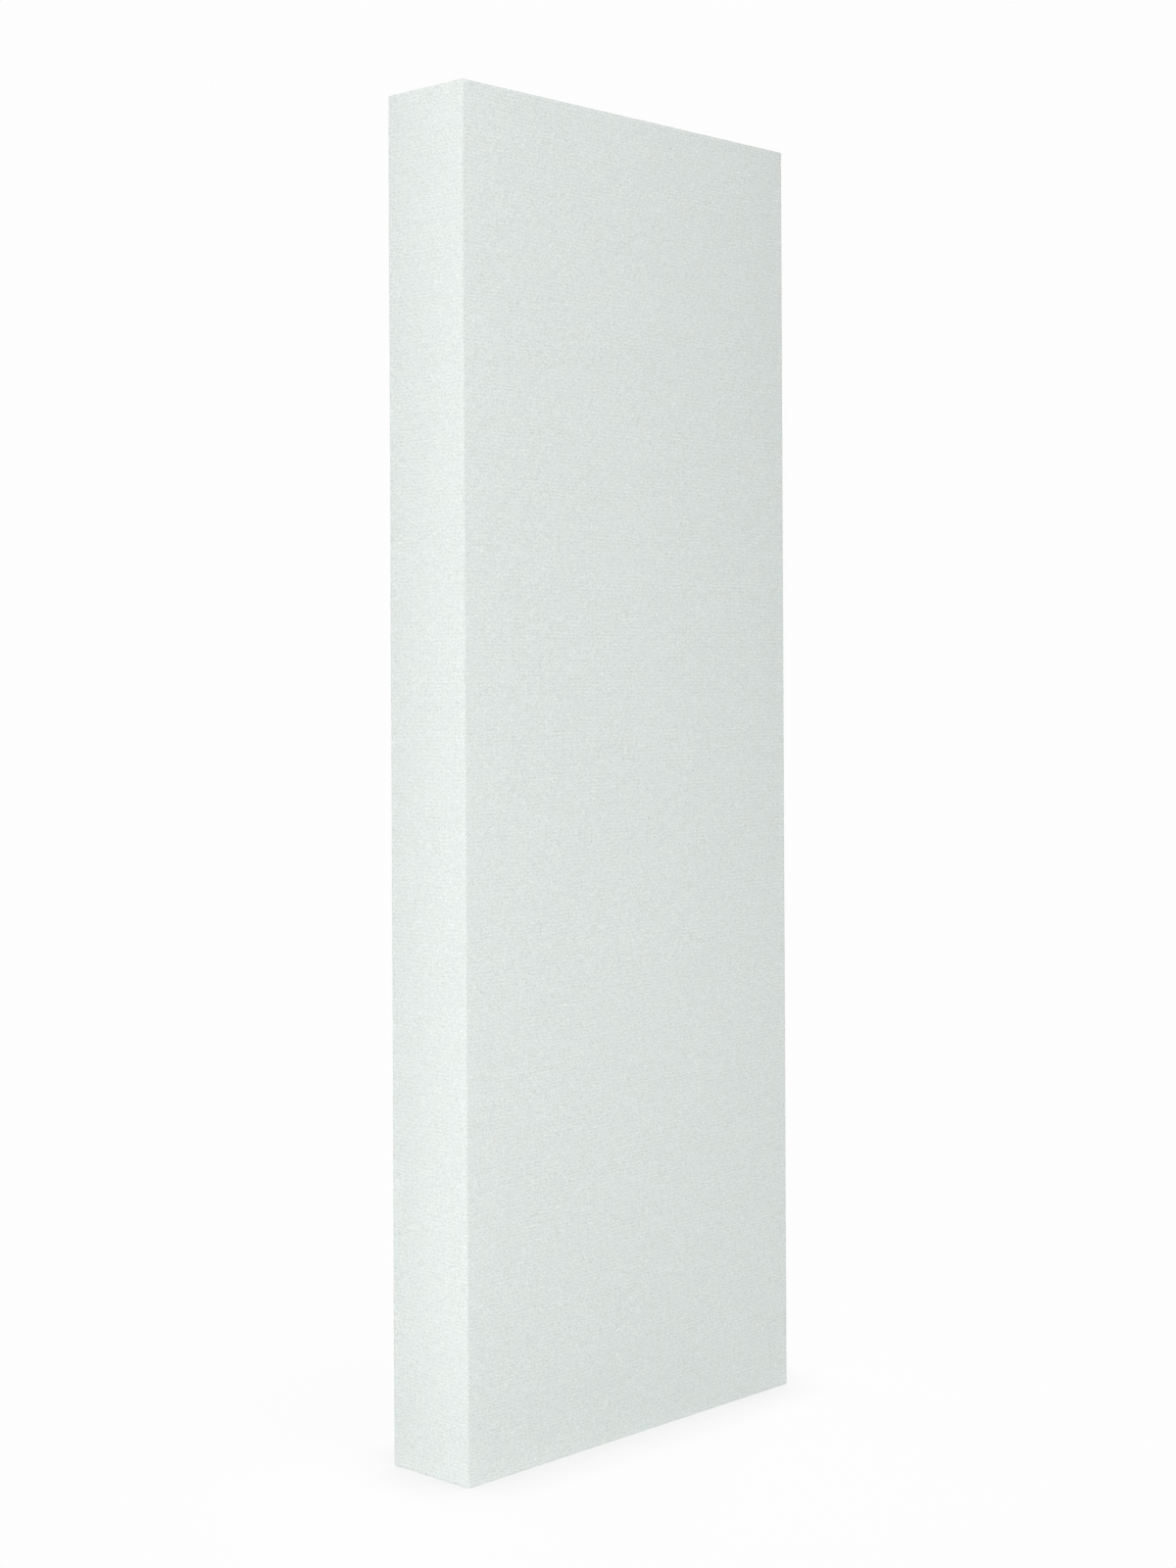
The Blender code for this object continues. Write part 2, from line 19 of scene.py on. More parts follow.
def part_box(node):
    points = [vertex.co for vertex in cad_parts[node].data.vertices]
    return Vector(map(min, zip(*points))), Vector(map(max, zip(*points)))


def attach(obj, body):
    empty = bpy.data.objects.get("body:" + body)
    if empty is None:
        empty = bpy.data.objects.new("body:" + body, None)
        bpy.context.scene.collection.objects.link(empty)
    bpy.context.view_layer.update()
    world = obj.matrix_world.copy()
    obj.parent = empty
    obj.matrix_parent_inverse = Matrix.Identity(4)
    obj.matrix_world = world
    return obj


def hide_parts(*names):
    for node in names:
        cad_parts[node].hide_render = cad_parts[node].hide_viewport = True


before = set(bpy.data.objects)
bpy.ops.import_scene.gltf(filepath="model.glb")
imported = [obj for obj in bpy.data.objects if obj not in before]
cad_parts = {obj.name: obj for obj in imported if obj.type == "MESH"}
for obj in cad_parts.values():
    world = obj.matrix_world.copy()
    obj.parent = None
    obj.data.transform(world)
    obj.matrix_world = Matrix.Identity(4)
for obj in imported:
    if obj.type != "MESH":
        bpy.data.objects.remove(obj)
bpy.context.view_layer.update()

# %% [markdown]
# ## Measure before making
# A new piece fits only if it takes its size from the pieces that carry it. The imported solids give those
# sizes, so nothing below has to be moved into place by eye. The front of the panel looks along -Y.
#
# The cloth alone stands a fraction of a millimetre proud of its plain solid. That solid was measured by
# its sharp corners, and the rounded edges of the cloth look a little narrower, so this gives it back.

# %% Read the sizes that everything else hangs on
SIDES_PROUD, FRONT_PROUD = 0.0006, 0.0003

wrap_low, wrap_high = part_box("cloth_wrap")
wrap_low -= Vector((SIDES_PROUD, FRONT_PROUD, 0))
wrap_high += Vector((SIDES_PROUD, 0, 0))
wrap_size = wrap_high - wrap_low
cover_low, cover_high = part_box("dust_cover")
print("wrapped panel in mm:", [round(1000 * side, 1) for side in wrap_size])

# %% [markdown]
# ## The camera
# The picture was taken from the left, with the upright edge between the front and the side turned towards
# the lens. The upright edges stay parallel in it, so the camera was level and its lens was shifted: a level
# camera with a shift keeps verticals upright, where a tilted one would make them lean together. The
# numbers come from fitting a camera to the six corners of the panel that can be seen.

# %% Place the camera
CAMERA_PLACE = Vector((-1.6874, -1.5915, 0.6928))
CAMERA_TURN = math.radians(-46.52)
CAMERA_ROLL = math.radians(0.26)
LENS_MM = 57.47
LENS_SHIFT = -0.0702

lens = bpy.data.cameras.new("studio_camera")
lens.lens = LENS_MM
lens.sensor_width = 36
lens.shift_y = LENS_SHIFT
camera = bpy.data.objects.new("studio_camera", lens)
camera.location = CAMERA_PLACE
camera.rotation_euler = (math.radians(90), CAMERA_ROLL, CAMERA_TURN)
bpy.context.scene.collection.objects.link(camera)
bpy.context.scene.camera = camera
bpy.context.view_layer.update()
print("the camera stands", round(camera.location.xy.length, 2), "m from the middle of the panel")

# %% See where the corners land in the picture
PICTURE_WIDE, PICTURE_TALL = 1200, 1600


def picture_place(point):
    """Where a point falls in the picture, in pixels from its top left corner."""
    seen = camera.matrix_world.inverted() @ Vector(point)
    scale = lens.lens / lens.sensor_width * PICTURE_TALL
    across = PICTURE_WIDE / 2 + scale * seen.x / -seen.z
    down = PICTURE_TALL / 2 - scale * seen.y / -seen.z + lens.shift_y * PICTURE_TALL
    return round(across, 1), round(down, 1)


for x, y in ((wrap_low.x, wrap_high.y), (wrap_low.x, wrap_low.y), (wrap_high.x, wrap_low.y)):
    print("corner seen at", picture_place((x, y, wrap_high.z)), picture_place((x, y, wrap_low.z)))

# %% [markdown]
# ## The studio
# The floor and the background are almost white. Their white doesn't come from strong lamps, which would
# bleach the cloth. It is painted in for the rays that the camera, a mirror or a glass sees, while the rays
# that light the panel meet a plainer world. The floor keeps a little real shading, and a painted contact
# shadow darkens its white where the panel stands, so that a faint shadow still lies under the panel. Close
# to the panel the floor also gives out a faint painted glow on to the panel, in place of the light a white
# studio floor throws back, and a little more before the bright side. This keeps the bottom edges from going
# dark.

# %% Helpers that add shader nodes
def feed(tree, socket, value):
    """Links another node's output to a socket, or writes a plain value into it."""
    if isinstance(value, bpy.types.NodeSocket):
        tree.links.new(value, socket)
    elif isinstance(value, (tuple, list)) and len(value) == 3 and socket.type == "RGBA":
        socket.default_value = (*value, 1)
    else:
        socket.default_value = value


def add_node(tree, kind, inputs=None, **settings):
    """Adds a node, sets its options and feeds its inputs, by their names or numbers."""
    node = tree.nodes.new(kind)
    for name, value in settings.items():
        setattr(node, name, value)
    for name, value in (inputs or {}).items():
        feed(tree, node.inputs[name], value)
    return node


def maths(tree, operation, *values):
    """One sum, product or other small calculation."""
    return add_node(tree, "ShaderNodeMath", dict(enumerate(values)), operation=operation).outputs[0]


print("node helpers ready")


# %% Helpers for places, ranges and rays
def vectors(tree, operation, *values):
    """One calculation on places or directions. A length or a dot product comes out as a number."""
    sockets = (0, "Scale") if operation == "SCALE" else (0, 1)
    node = add_node(tree, "ShaderNodeVectorMath", dict(zip(sockets, values)), operation=operation)
    return node.outputs["Value" if operation in ("LENGTH", "DOT_PRODUCT") else "Vector"]


def parts_of(tree, place):
    """A place's x, y and z."""
    return add_node(tree, "ShaderNodeSeparateXYZ", {0: place}).outputs


def ramp(tree, value, low, high, start=0.0, end=1.0, smooth=True):
    """Carries a value from one range to another and stops at the ends."""
    kind = "SMOOTHSTEP" if smooth else "LINEAR"
    places = {0: value, 1: low, 2: high, 3: start, 4: end}
    return add_node(tree, "ShaderNodeMapRange", places, interpolation_type=kind).outputs[0]


def seen_directly(tree):
    """1 for the rays that the camera, a mirror or a glass sees, and 0 for the rays that light things."""
    rays = tree.nodes.new("ShaderNodeLightPath").outputs
    mirrored = maths(tree, "MAXIMUM", rays["Is Camera Ray"], rays["Is Glossy Ray"])
    return maths(tree, "MAXIMUM", mirrored, rays["Is Transmission Ray"])


print("place and range helpers ready")

# %% The world: white to look at, plain to be lit by
WORLD_WHITE = 0.985
WORLD_LEVEL = 0.34

world = bpy.data.worlds.new("studio_world")
bpy.context.scene.world = world
world.use_nodes = True
tree = world.node_tree
tree.nodes.clear()
strength = ramp(tree, seen_directly(tree), 0, 1, WORLD_LEVEL, WORLD_WHITE, smooth=False)
background = add_node(tree, "ShaderNodeBackground", {"Color": (1, 1, 1), "Strength": strength})
output = tree.nodes.new("ShaderNodeOutputWorld")
tree.links.new(background.outputs[0], output.inputs[0])
bpy.context.scene.view_settings.view_transform = "Standard"
print("world level for lighting:", WORLD_LEVEL)

# %% Lay the floor
FLOOR_REACH = 14.0

shape = bmesh.new()
bmesh.ops.create_circle(shape, cap_ends=True, segments=96, radius=FLOOR_REACH)
mesh = bpy.data.meshes.new("studio_floor")
shape.to_mesh(mesh)
shape.free()
floor = bpy.data.objects.new("studio_floor", mesh)
bpy.context.scene.collection.objects.link(floor)
print("floor reaches", FLOOR_REACH, "m from the panel")

# %% Paint the floor: white to look at, with a little real shade and a painted contact shadow by the panel
FLOOR_GREY = (0.86, 0.86, 0.86)
FLOOR_SHADE = 0.05
FLOOR_LIT = 0.84
SHADE_FADES = (0.27, 0.50)
CONTACT_SHADE = 0.20
CONTACT_REACH = 0.060

paint = bpy.data.materials.new("floor_paint")
paint.use_nodes = True
tree = paint.node_tree
tree.nodes.clear()
place = tree.nodes.new("ShaderNodeTexCoord").outputs["Object"]
from_middle = vectors(tree, "LENGTH", place)
painted = ramp(tree, from_middle, *SHADE_FADES, 1 - FLOOR_SHADE, 1.0)
share = maths(tree, "MULTIPLY", seen_directly(tree), painted)
near_white = (WORLD_WHITE - FLOOR_SHADE * FLOOR_LIT) / (1 - FLOOR_SHADE)
white = ramp(tree, from_middle, *SHADE_FADES, near_white, WORLD_WHITE)
# Painted contact shadow: ambient occlusion darkens the painted white where the panel stands close to the
# floor.
openness = add_node(tree, "ShaderNodeAmbientOcclusion", {"Distance": CONTACT_REACH}, samples=8)
painted_contact_shade = ramp(tree, openness.outputs["AO"], 0, 1, 1 - CONTACT_SHADE, 1.0, smooth=False)
white = maths(tree, "MULTIPLY", white, painted_contact_shade)
glow = add_node(tree, "ShaderNodeEmission", {"Color": (1, 1, 1), "Strength": white})
print("painted white near the panel:", round(near_white, 3))

# %% Let the floor give a painted glow on to the foot of the panel
FOOT_GLOW_LEVEL = 0.18
FOOT_GLOW_BY_SIDE = 0.26
FOOT_GLOW_REACH = 0.050
SIDE_ENDS = (wrap_low.x - 0.002, wrap_low.x + 0.010)

# Painted light: near the panel's foot the floor emits a faint glow, stronger before the left side, in place
# of light that a floor throws back.
footprint = (wrap_size.x / 2, wrap_size.y / 2, 0)
past_foot = vectors(tree, "SUBTRACT", vectors(tree, "ABSOLUTE", place), footprint)
from_foot = vectors(tree, "LENGTH", vectors(tree, "MAXIMUM", past_foot, (0, 0, 0)))
foot_level = ramp(tree, parts_of(tree, place)[0], *SIDE_ENDS, FOOT_GLOW_BY_SIDE, FOOT_GLOW_LEVEL)
foot_glow = maths(tree, "MULTIPLY", ramp(tree, from_foot, 0, FOOT_GLOW_REACH, 1.0, 0.0), foot_level)
foot_glow_light = add_node(tree, "ShaderNodeEmission", {"Color": (1, 1, 1), "Strength": foot_glow})
shaded = add_node(tree, "ShaderNodeBsdfDiffuse", {"Color": FLOOR_GREY})
lit = add_node(tree, "ShaderNodeAddShader", {0: shaded.outputs[0], 1: foot_glow_light.outputs[0]})
look = add_node(tree, "ShaderNodeMixShader", {0: share, 1: lit.outputs[0], 2: glow.outputs[0]})
output = tree.nodes.new("ShaderNodeOutputMaterial")
tree.links.new(look.outputs[0], output.inputs[0])
mesh.materials.append(paint)
print("the floor glows over", 1000 * FOOT_GLOW_REACH, "mm")

# %% [markdown]
# ## The lamps
# On both faces the cloth is brightest at the upright front edge and falls off slowly away from it, and it
# is even from top to bottom. A tall strip lamp close to that edge does this: along its own direction a
# strip gives even light, and across it the light falls off with distance. It stands almost in the plane of
# the front, so it lights the side fully and the front hardly at all. A second strip stands before the
# front. The floor cuts a strip off where the panel still needs it, so each has a short foot that gives the
# light back low down. Two more strips stand behind, and a wide soft lamp hangs above.

# %% A soft lamp, and a strip that stands on the floor
LAMP_FOOT = 0.02


def soft_lamp(name, place, turn, width, length, power):
    """A flat rectangular lamp that shines along its own -Z."""
    light = bpy.data.lights.new(name, "AREA")
    light.shape = "RECTANGLE"
    light.size = width
    light.size_y = length
    light.energy = power
    lamp = bpy.data.objects.new(name, light)
    lamp.location = place
    lamp.rotation_euler = turn
    lamp.visible_camera = False
    bpy.context.scene.collection.objects.link(lamp)


def strip_lamp(name, place, towards, top, width, power):
    """A tall soft lamp that stands on the floor and faces a spot on the floor plan."""
    heading = Vector((*towards, 0)) - Vector((*place, 0))
    turn = heading.to_track_quat("-Z", "Y").to_euler()
    soft_lamp(name, (*place, (LAMP_FOOT + top) / 2), turn, width, top - LAMP_FOOT, power)


print("strips start", LAMP_FOOT, "m above the floor")

# %% Stand the lamps round the panel
OVERHEAD_HEIGHT, OVERHEAD_WIDE, OVERHEAD_POWER = 3.2, 2.6, 24.0
EDGE = (wrap_low.x, wrap_low.y)
BESIDE_EDGE = (EDGE[0] - 0.35, EDGE[1] - 0.065)
BY_THE_FOOT = (EDGE[0] - 0.22, EDGE[1] - 0.041)
BEFORE_FRONT = (EDGE[0] + 0.20, EDGE[1] - 0.90)

# Each row: where it stands, what it faces, its top and width in metres, and its power.
STRIPS = {
    "edge_strip": (BESIDE_EDGE, EDGE, 2.6, 0.16, 3.96),
    "edge_foot": (BY_THE_FOOT, EDGE, 0.13, 0.16, 0.037),
    "front_strip": (BEFORE_FRONT, EDGE, 3.0, 0.50, 7.65),
    "front_foot": (BEFORE_FRONT, EDGE, 0.34, 0.50, 0.46),
    "back_strip": ((-0.15, 1.60), (0, 0), 2.8, 0.50, 9.0),
    "right_strip": ((1.50, 0.60), (0, 0), 2.8, 0.40, 20.0),
}
for name, row in STRIPS.items():
    strip_lamp(name, *row)
overhead = (0, 0, OVERHEAD_HEIGHT)
soft_lamp("overhead_lamp", overhead, (0, 0, 0), OVERHEAD_WIDE, OVERHEAD_WIDE, OVERHEAD_POWER)
print("lamps:", ", ".join(STRIPS), "and one overhead")

# %% [markdown]
# ## One way to build every rounded block
# The cloth wrap and the wool slabs are both boxes with soft edges and small bumps. A cube with a bevel
# gives the edges but no places to bump. So the skin is laid out on a lattice: lines along X, Y and Z, close
# together where something happens and far apart where nothing does. Each point is then pulled on to the
# rounded box and pushed in or out by a rule of its own.

# %% Lines along one axis
HOLDING_LINE = 1.3


def lattice_lines(low, high, near_ends, step):
    """Places from low to high: given distances in from both ends, and about even steps between."""
    span = high - low - 2 * near_ends[-1]
    count = max(1, round(span / step))
    middle = [low + near_ends[-1] + span * i / count for i in range(1, count)]
    return [low + d for d in near_ends] + middle + [high - d for d in reversed(near_ends)]


def rounding_lines(radius, steps=3):
    """Distances from a sharp edge that fall evenly round its rounding, and one beyond to hold it crisp."""
    turns = [math.radians(45 * (1 - i / steps)) for i in range(steps + 1)]
    return [radius * (1 - math.tan(turn)) for turn in turns] + [radius * HOLDING_LINE]


print("lines round an edge of 1 mm radius, in mm:", [round(d, 2) for d in rounding_lines(1.0)])


# %% The faces on the outside of a lattice
def box_quads(counts):
    """Each face of the lattice's skin, as its side's name and four (i, j, k) corners in outward order."""
    last = [count - 1 for count in counts]
    sides = {
        "left": (0, 0, (2, 1)), "right": (0, last[0], (1, 2)),
        "front": (1, 0, (0, 2)), "back": (1, last[1], (2, 0)),
        "bottom": (2, 0, (1, 0)), "top": (2, last[2], (0, 1)),
    }
    for side, (axis, level, (first, second)) in sides.items():
        for a in range(last[first]):
            for b in range(last[second]):
                corners = []
                for step_a, step_b in ((0, 0), (1, 0), (1, 1), (0, 1)):
                    corner = [0, 0, 0]
                    corner[axis], corner[first], corner[second] = level, a + step_a, b + step_b
                    corners.append(tuple(corner))
                yield side, corners


print("3 by 3 by 3 lines have", len(list(box_quads((3, 3, 3)))), "faces outside")


# %% The skin of a rounded box
def rounded_skin(lines, radius, push, keep=None, flat_place=None):
    """Builds the skin of a rounded box. push(place, out) says how far each point moves outwards, keep
    leaves faces out, and flat_place gives each corner its place on the flat cloth, kept as a UV map."""
    low = Vector([axis[0] + radius for axis in lines])
    high = Vector([axis[-1] - radius for axis in lines])
    shape = bmesh.new()
    cloth = shape.loops.layers.uv.new("cloth")
    made = {}
    for side, corners in box_quads([len(axis) for axis in lines]):
        places = [Vector([lines[a][corner[a]] for a in range(3)]) for corner in corners]
        middle = sum(places, Vector()) / 4
        if keep and not keep(side, middle):
            continue
        for corner, place in zip(corners, places):
            if corner not in made:
                core = Vector([min(max(place[a], low[a]), high[a]) for a in range(3)])
                out = (place - core).normalized()
                made[corner] = shape.verts.new(core + out * (radius + push(place, out)))
        face = shape.faces.new([made[corner] for corner in corners])
        face.smooth = True
        if flat_place:
            for loop, place in zip(face.loops, places):
                loop[cloth].uv = flat_place(side, place, middle)
    return shape


print("the skin builder is ready")


# %% From a shape to a piece
def add_piece(name, shape, material, body="panel"):
    """Turns a finished bmesh into a piece that rides on a body and takes its finish from a slot."""
    mesh = bpy.data.meshes.new(name)
    shape.to_mesh(mesh)
    shape.free()
    piece = bpy.data.objects.new(name, mesh)
    bpy.context.scene.collection.objects.link(piece)
    mesh.materials.append(material)
    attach(piece, body)
    return piece


def thicken(piece, thickness):
    """Gives a sheet its thickness, behind the side that shows."""
    solid = piece.modifiers.new("thickness", "SOLIDIFY")
    solid.thickness = thickness
    solid.offset = -1


print("the piece builder is ready")

# %% [markdown]
# ## Effects that several finishes share
# Fibres, soft patches of tint, rubbed edges and dust turn up on more than one material. Each is a node
# group with named inputs, built once and placed in each material with its own numbers. A group hands out
# only masks, tones and heights. The Principled shader stays in the material, where its fixed values are
# plain to see.

# %% Making and placing a node group
def place_from(tree, *parts):
    """A place made from its x, y and z."""
    return add_node(tree, "ShaderNodeCombineXYZ", dict(enumerate(parts))).outputs[0]


def clouds(tree, place, per_metre, detail=2.0):
    """Soft random clouds: their value comes first, and their colour by its name."""
    inputs = {"Vector": place, "Scale": per_metre, "Detail": detail}
    return add_node(tree, "ShaderNodeTexNoise", inputs).outputs


def start_group(name, numbers, outputs):
    """A new shader group with a Place, named numbers and its outputs. Returns its tree and both ends."""
    group = bpy.data.node_groups.new(name, "ShaderNodeTree")
    group.interface.new_socket("Place", in_out="INPUT", socket_type="NodeSocketVector")
    for socket_name, value in numbers.items():
        socket = group.interface.new_socket(socket_name, in_out="INPUT", socket_type="NodeSocketFloat")
        socket.default_value = value
    for socket_name in outputs:
        group.interface.new_socket(socket_name, in_out="OUTPUT", socket_type="NodeSocketFloat")
    coming_in = group.nodes.new("NodeGroupInput").outputs
    going_out = group.nodes.new("NodeGroupOutput").inputs
    return group, coming_in, going_out


def place_group(tree, group, place, **numbers):
    """Puts a group into a tree, feeds it a place and its numbers, and returns its outputs."""
    node = add_node(tree, "ShaderNodeGroup", node_tree=group)
    feed(tree, node.inputs["Place"], place)
    for name, value in numbers.items():
        feed(tree, node.inputs[name.replace("_", " ")], value)
    return node.outputs


print("group helpers ready")

# %% Fibres: short strands and specks
BENDS_PER_STRAND, BEND = 0.35, 1.6

fibres, given, result = start_group("Fibres", {"Size": 0.001, "Length": 3.0}, ["Tone", "Height"])
per_metre = maths(fibres, "DIVIDE", 1.0, given["Size"])
parts = parts_of(fibres, vectors(fibres, "SCALE", given["Place"], per_metre))
strands = place_from(fibres, maths(fibres, "DIVIDE", parts[0], given["Length"]), parts[1], parts[2])
bent = vectors(fibres, "SCALE", clouds(fibres, strands, BENDS_PER_STRAND)["Color"], BEND)
lines = clouds(fibres, vectors(fibres, "ADD", strands, bent), 1.0, 3.0)[0]
fibres.links.new(ramp(fibres, lines, 0.3, 0.7, -1.0, 1.0), result["Tone"])
fibres.links.new(ramp(fibres, lines, 0.35, 0.68), result["Height"])
print("group:", fibres.name)

# %% Patches: soft clouds of a second tint
SOFTEST = 0.25

patches, given, result = start_group("Patches", {"Size": 0.02, "Firmness": 0.5}, ["Mask"])
cloud = clouds(patches, given["Place"], maths(patches, "DIVIDE", 1.0, given["Size"]), 3.0)[0]
edge = maths(patches, "MULTIPLY", maths(patches, "SUBTRACT", 1.0, given["Firmness"]), SOFTEST)
low = maths(patches, "SUBTRACT", 0.5, edge)
high = maths(patches, "ADD", 0.5, edge)
patches.links.new(ramp(patches, cloud, low, high), result["Mask"])
print("group:", patches.name)

# %% Rubbed edges: where a bevel would turn the surface
CHIPS_PER_METRE = 900.0
UNTURNED, FULLY_TURNED = 0.995, 0.86

rubbed, given, result = start_group("Rubbed edges", {"Width": 0.0006, "Breakup": 0.5}, ["Mask"])
true_normal = rubbed.nodes.new("ShaderNodeNewGeometry").outputs["Normal"]
soft_normal = add_node(rubbed, "ShaderNodeBevel", {"Radius": given["Width"]}, samples=4).outputs[0]
facing = vectors(rubbed, "DOT_PRODUCT", true_normal, soft_normal)
turned_away = ramp(rubbed, facing, UNTURNED, FULLY_TURNED)
chips = ramp(rubbed, clouds(rubbed, given["Place"], CHIPS_PER_METRE, 4.0)[0], 0.6, 0.4)
left = maths(rubbed, "SUBTRACT", 1.0, maths(rubbed, "MULTIPLY", chips, given["Breakup"]))
rubbed.links.new(maths(rubbed, "MULTIPLY", turned_away, left), result["Mask"])
print("group:", rubbed.name)

# %% Dust: thin on what faces up, and in scattered specks
ON_UPRIGHT_FACES = 0.08
SPECK_SHARE, FILM_SHARE = 0.7, 0.6
FILM_CLOUDS_PER_METRE = 60.0

dust, given, result = start_group("Dust", {"Amount": 0.3, "Speck size": 0.001}, ["Mask"])
upward = parts_of(dust, dust.nodes.new("ShaderNodeNewGeometry").outputs["Normal"])[2]
settled = ramp(dust, upward, 0.1, 0.9, ON_UPRIGHT_FACES, 1.0)
per_metre = maths(dust, "DIVIDE", 1.0, given["Speck size"])
speck = add_node(dust, "ShaderNodeTexVoronoi", {"Vector": given["Place"], "Scale": per_metre})
film = clouds(dust, given["Place"], FILM_CLOUDS_PER_METRE, 4.0)[0]
grains = maths(dust, "MULTIPLY", ramp(dust, speck.outputs["Distance"], 0.22, 0.08), SPECK_SHARE)
both = maths(dust, "ADD", grains, ramp(dust, film, 0.45, 0.75, 0.0, FILM_SHARE))
mask = maths(dust, "MULTIPLY", maths(dust, "MULTIPLY", both, settled), given["Amount"])
dust.links.new(mask, result["Mask"])
print("group:", dust.name)

# %% Wood grain: yearly bands, pores and a soft flame along one direction
DRAWN_OUT = (1.0, 1.0, 0.06)
SWAYS_PER_METRE, SWAY = 14.0, 0.02
PORES_PER_METRE = (13000.0, 13000.0, 750.0)

grain, given, result = start_group(
    "Wood grain", {"Band": 0.004, "Waviness": 1.0}, ["Bands", "Pores", "Height"]
)
lengthwise = vectors(grain, "MULTIPLY", given["Place"], DRAWN_OUT)
swing = maths(grain, "MULTIPLY", given["Waviness"], SWAY)
swayed = vectors(grain, "SCALE", clouds(grain, lengthwise, SWAYS_PER_METRE)["Color"], swing)
parts = parts_of(grain, vectors(grain, "ADD", lengthwise, swayed))
slant = maths(grain, "MULTIPLY_ADD", parts[1], 0.35, parts[0])
slant = maths(grain, "MULTIPLY_ADD", parts[2], 0.5, slant)
year = maths(grain, "FRACT", maths(grain, "DIVIDE", slant, given["Band"]))
late_wood = maths(grain, "MULTIPLY", ramp(grain, year, 0.35, 0.95), ramp(grain, year, 1.0, 0.96))
pores = clouds(grain, vectors(grain, "MULTIPLY", given["Place"], PORES_PER_METRE), 1.0)[0]
open_pores = ramp(grain, pores, 0.60, 0.72)
height = maths(grain, "SUBTRACT", maths(grain, "MULTIPLY_ADD", late_wood, 0.35, 0.65), open_pores)
grain.links.new(late_wood, result["Bands"])
grain.links.new(open_pores, result["Pores"])
grain.links.new(height, result["Height"])
print("group:", grain.name)

# %% Scratches: fine crossing lines left by handling
SCRATCH_TURNS = ((0.4, 0.9, 0.2), (1.3, -0.5, 2.1))
SCRATCH_STRETCH = (1, 0.07, 1)
HANDLED_PER_METRE = 120.0

scratches, given, result = start_group("Scratches", {"Spacing": 0.003, "Cover": 0.5}, ["Mask"])
per_metre = maths(scratches, "DIVIDE", 1.0, given["Spacing"])
found = []
for turn in SCRATCH_TURNS:
    laid = {"Vector": given["Place"], "Rotation": turn, "Scale": SCRATCH_STRETCH}
    drawn = {"Vector": add_node(scratches, "ShaderNodeMapping", laid).outputs[0], "Scale": per_metre}
    lines = add_node(scratches, "ShaderNodeTexVoronoi", drawn, feature="DISTANCE_TO_EDGE")
    found.append(ramp(scratches, lines.outputs["Distance"], 0.03, 0.008))
handled = ramp(scratches, clouds(scratches, given["Place"], HANDLED_PER_METRE, 3.0)[0], 0.42, 0.6)
both = maths(scratches, "MULTIPLY", maths(scratches, "MAXIMUM", *found), handled)
scratches.links.new(maths(scratches, "MULTIPLY", both, given["Cover"]), result["Mask"])
print("group:", scratches.name)

# %% [markdown]
# ## The pale cloth
# Acoustic cloth is an open plain weave: a thread goes over one neighbour and under the next, so that sound
# passes between them. Seen from a step away the threads merge, and what is left is a fine, slightly level
# grain, because the threads that run across are thicker and less even than those that run up.
#
# An image of cloth would blur close up and repeat. So the weave is worked out from the place on the flat
# cloth, in metres: whole numbers say which thread this is, fractions say where in it, and a chequer says
# which of the two lies on top. The same place also gives every thread its own slow changes of tone.

# %% Weave: where each thread lies
WANDERS_PER_METRE, WANDER = 90.0, 0.0016
THREADS_PER_RIB = 3.3
RIB_BREAKS_PER_METRE, RIB_BREAKUP = (260, 150, 1), 9.0

weave, given, result = start_group(
    "Plain weave",
    {"Threads up": 1100.0, "Threads across": 1000.0, "Unevenness": 0.35, "Rib": 0.3},
    ["Height", "Tone", "Gap"],
)
drift = clouds(weave, given["Place"], WANDERS_PER_METRE)["Color"]
place = vectors(weave, "ADD", given["Place"], vectors(weave, "SCALE", drift, WANDER))
parts = parts_of(weave, place)
across = maths(weave, "MULTIPLY", parts[0], given["Threads up"])
upwards = maths(weave, "MULTIPLY", parts[1], given["Threads across"])
column = maths(weave, "FLOOR", across)
row = maths(weave, "FLOOR", upwards)


def thread(number, run, changes_per_metre, gauge):
    """One thread's tone, which changes slowly along its run and starts afresh on the next thread."""
    start = maths(weave, "MULTIPLY", number, 17.31)
    spot = place_from(weave, maths(weave, "MULTIPLY", run, changes_per_metre), start, gauge)
    return ramp(weave, clouds(weave, spot, 1.0)[0], 0.25, 0.75, -1.0, 1.0, smooth=False)


level_tone = thread(row, parts[0], 330.0, 3.0)
upright_tone = thread(column, parts[1], 240.0, 9.0)
print("one rib in", THREADS_PER_RIB, "threads")


# %% Weave: the height and tone of crossing threads
def roundness(count, tone):
    """Height across one thread, from 0 between threads to 1 on its back, fuller where it is thick."""
    bow = maths(weave, "ABSOLUTE", maths(weave, "SINE", maths(weave, "MULTIPLY", count, math.pi)))
    fuller = maths(weave, "MULTIPLY", maths(weave, "MULTIPLY", tone, given["Unevenness"]), 0.5)
    return maths(weave, "MULTIPLY", bow, maths(weave, "ADD", 1.0, fuller))


def over_under(run, number):
    """From 0 where a thread dives to 1 where it rides on top, with each neighbour the other way round."""
    beat = maths(weave, "ADD", maths(weave, "SUBTRACT", run, 0.5), number)
    wave = maths(weave, "COSINE", maths(weave, "MULTIPLY", beat, math.pi))
    return maths(weave, "MULTIPLY_ADD", wave, 0.5, 0.5)


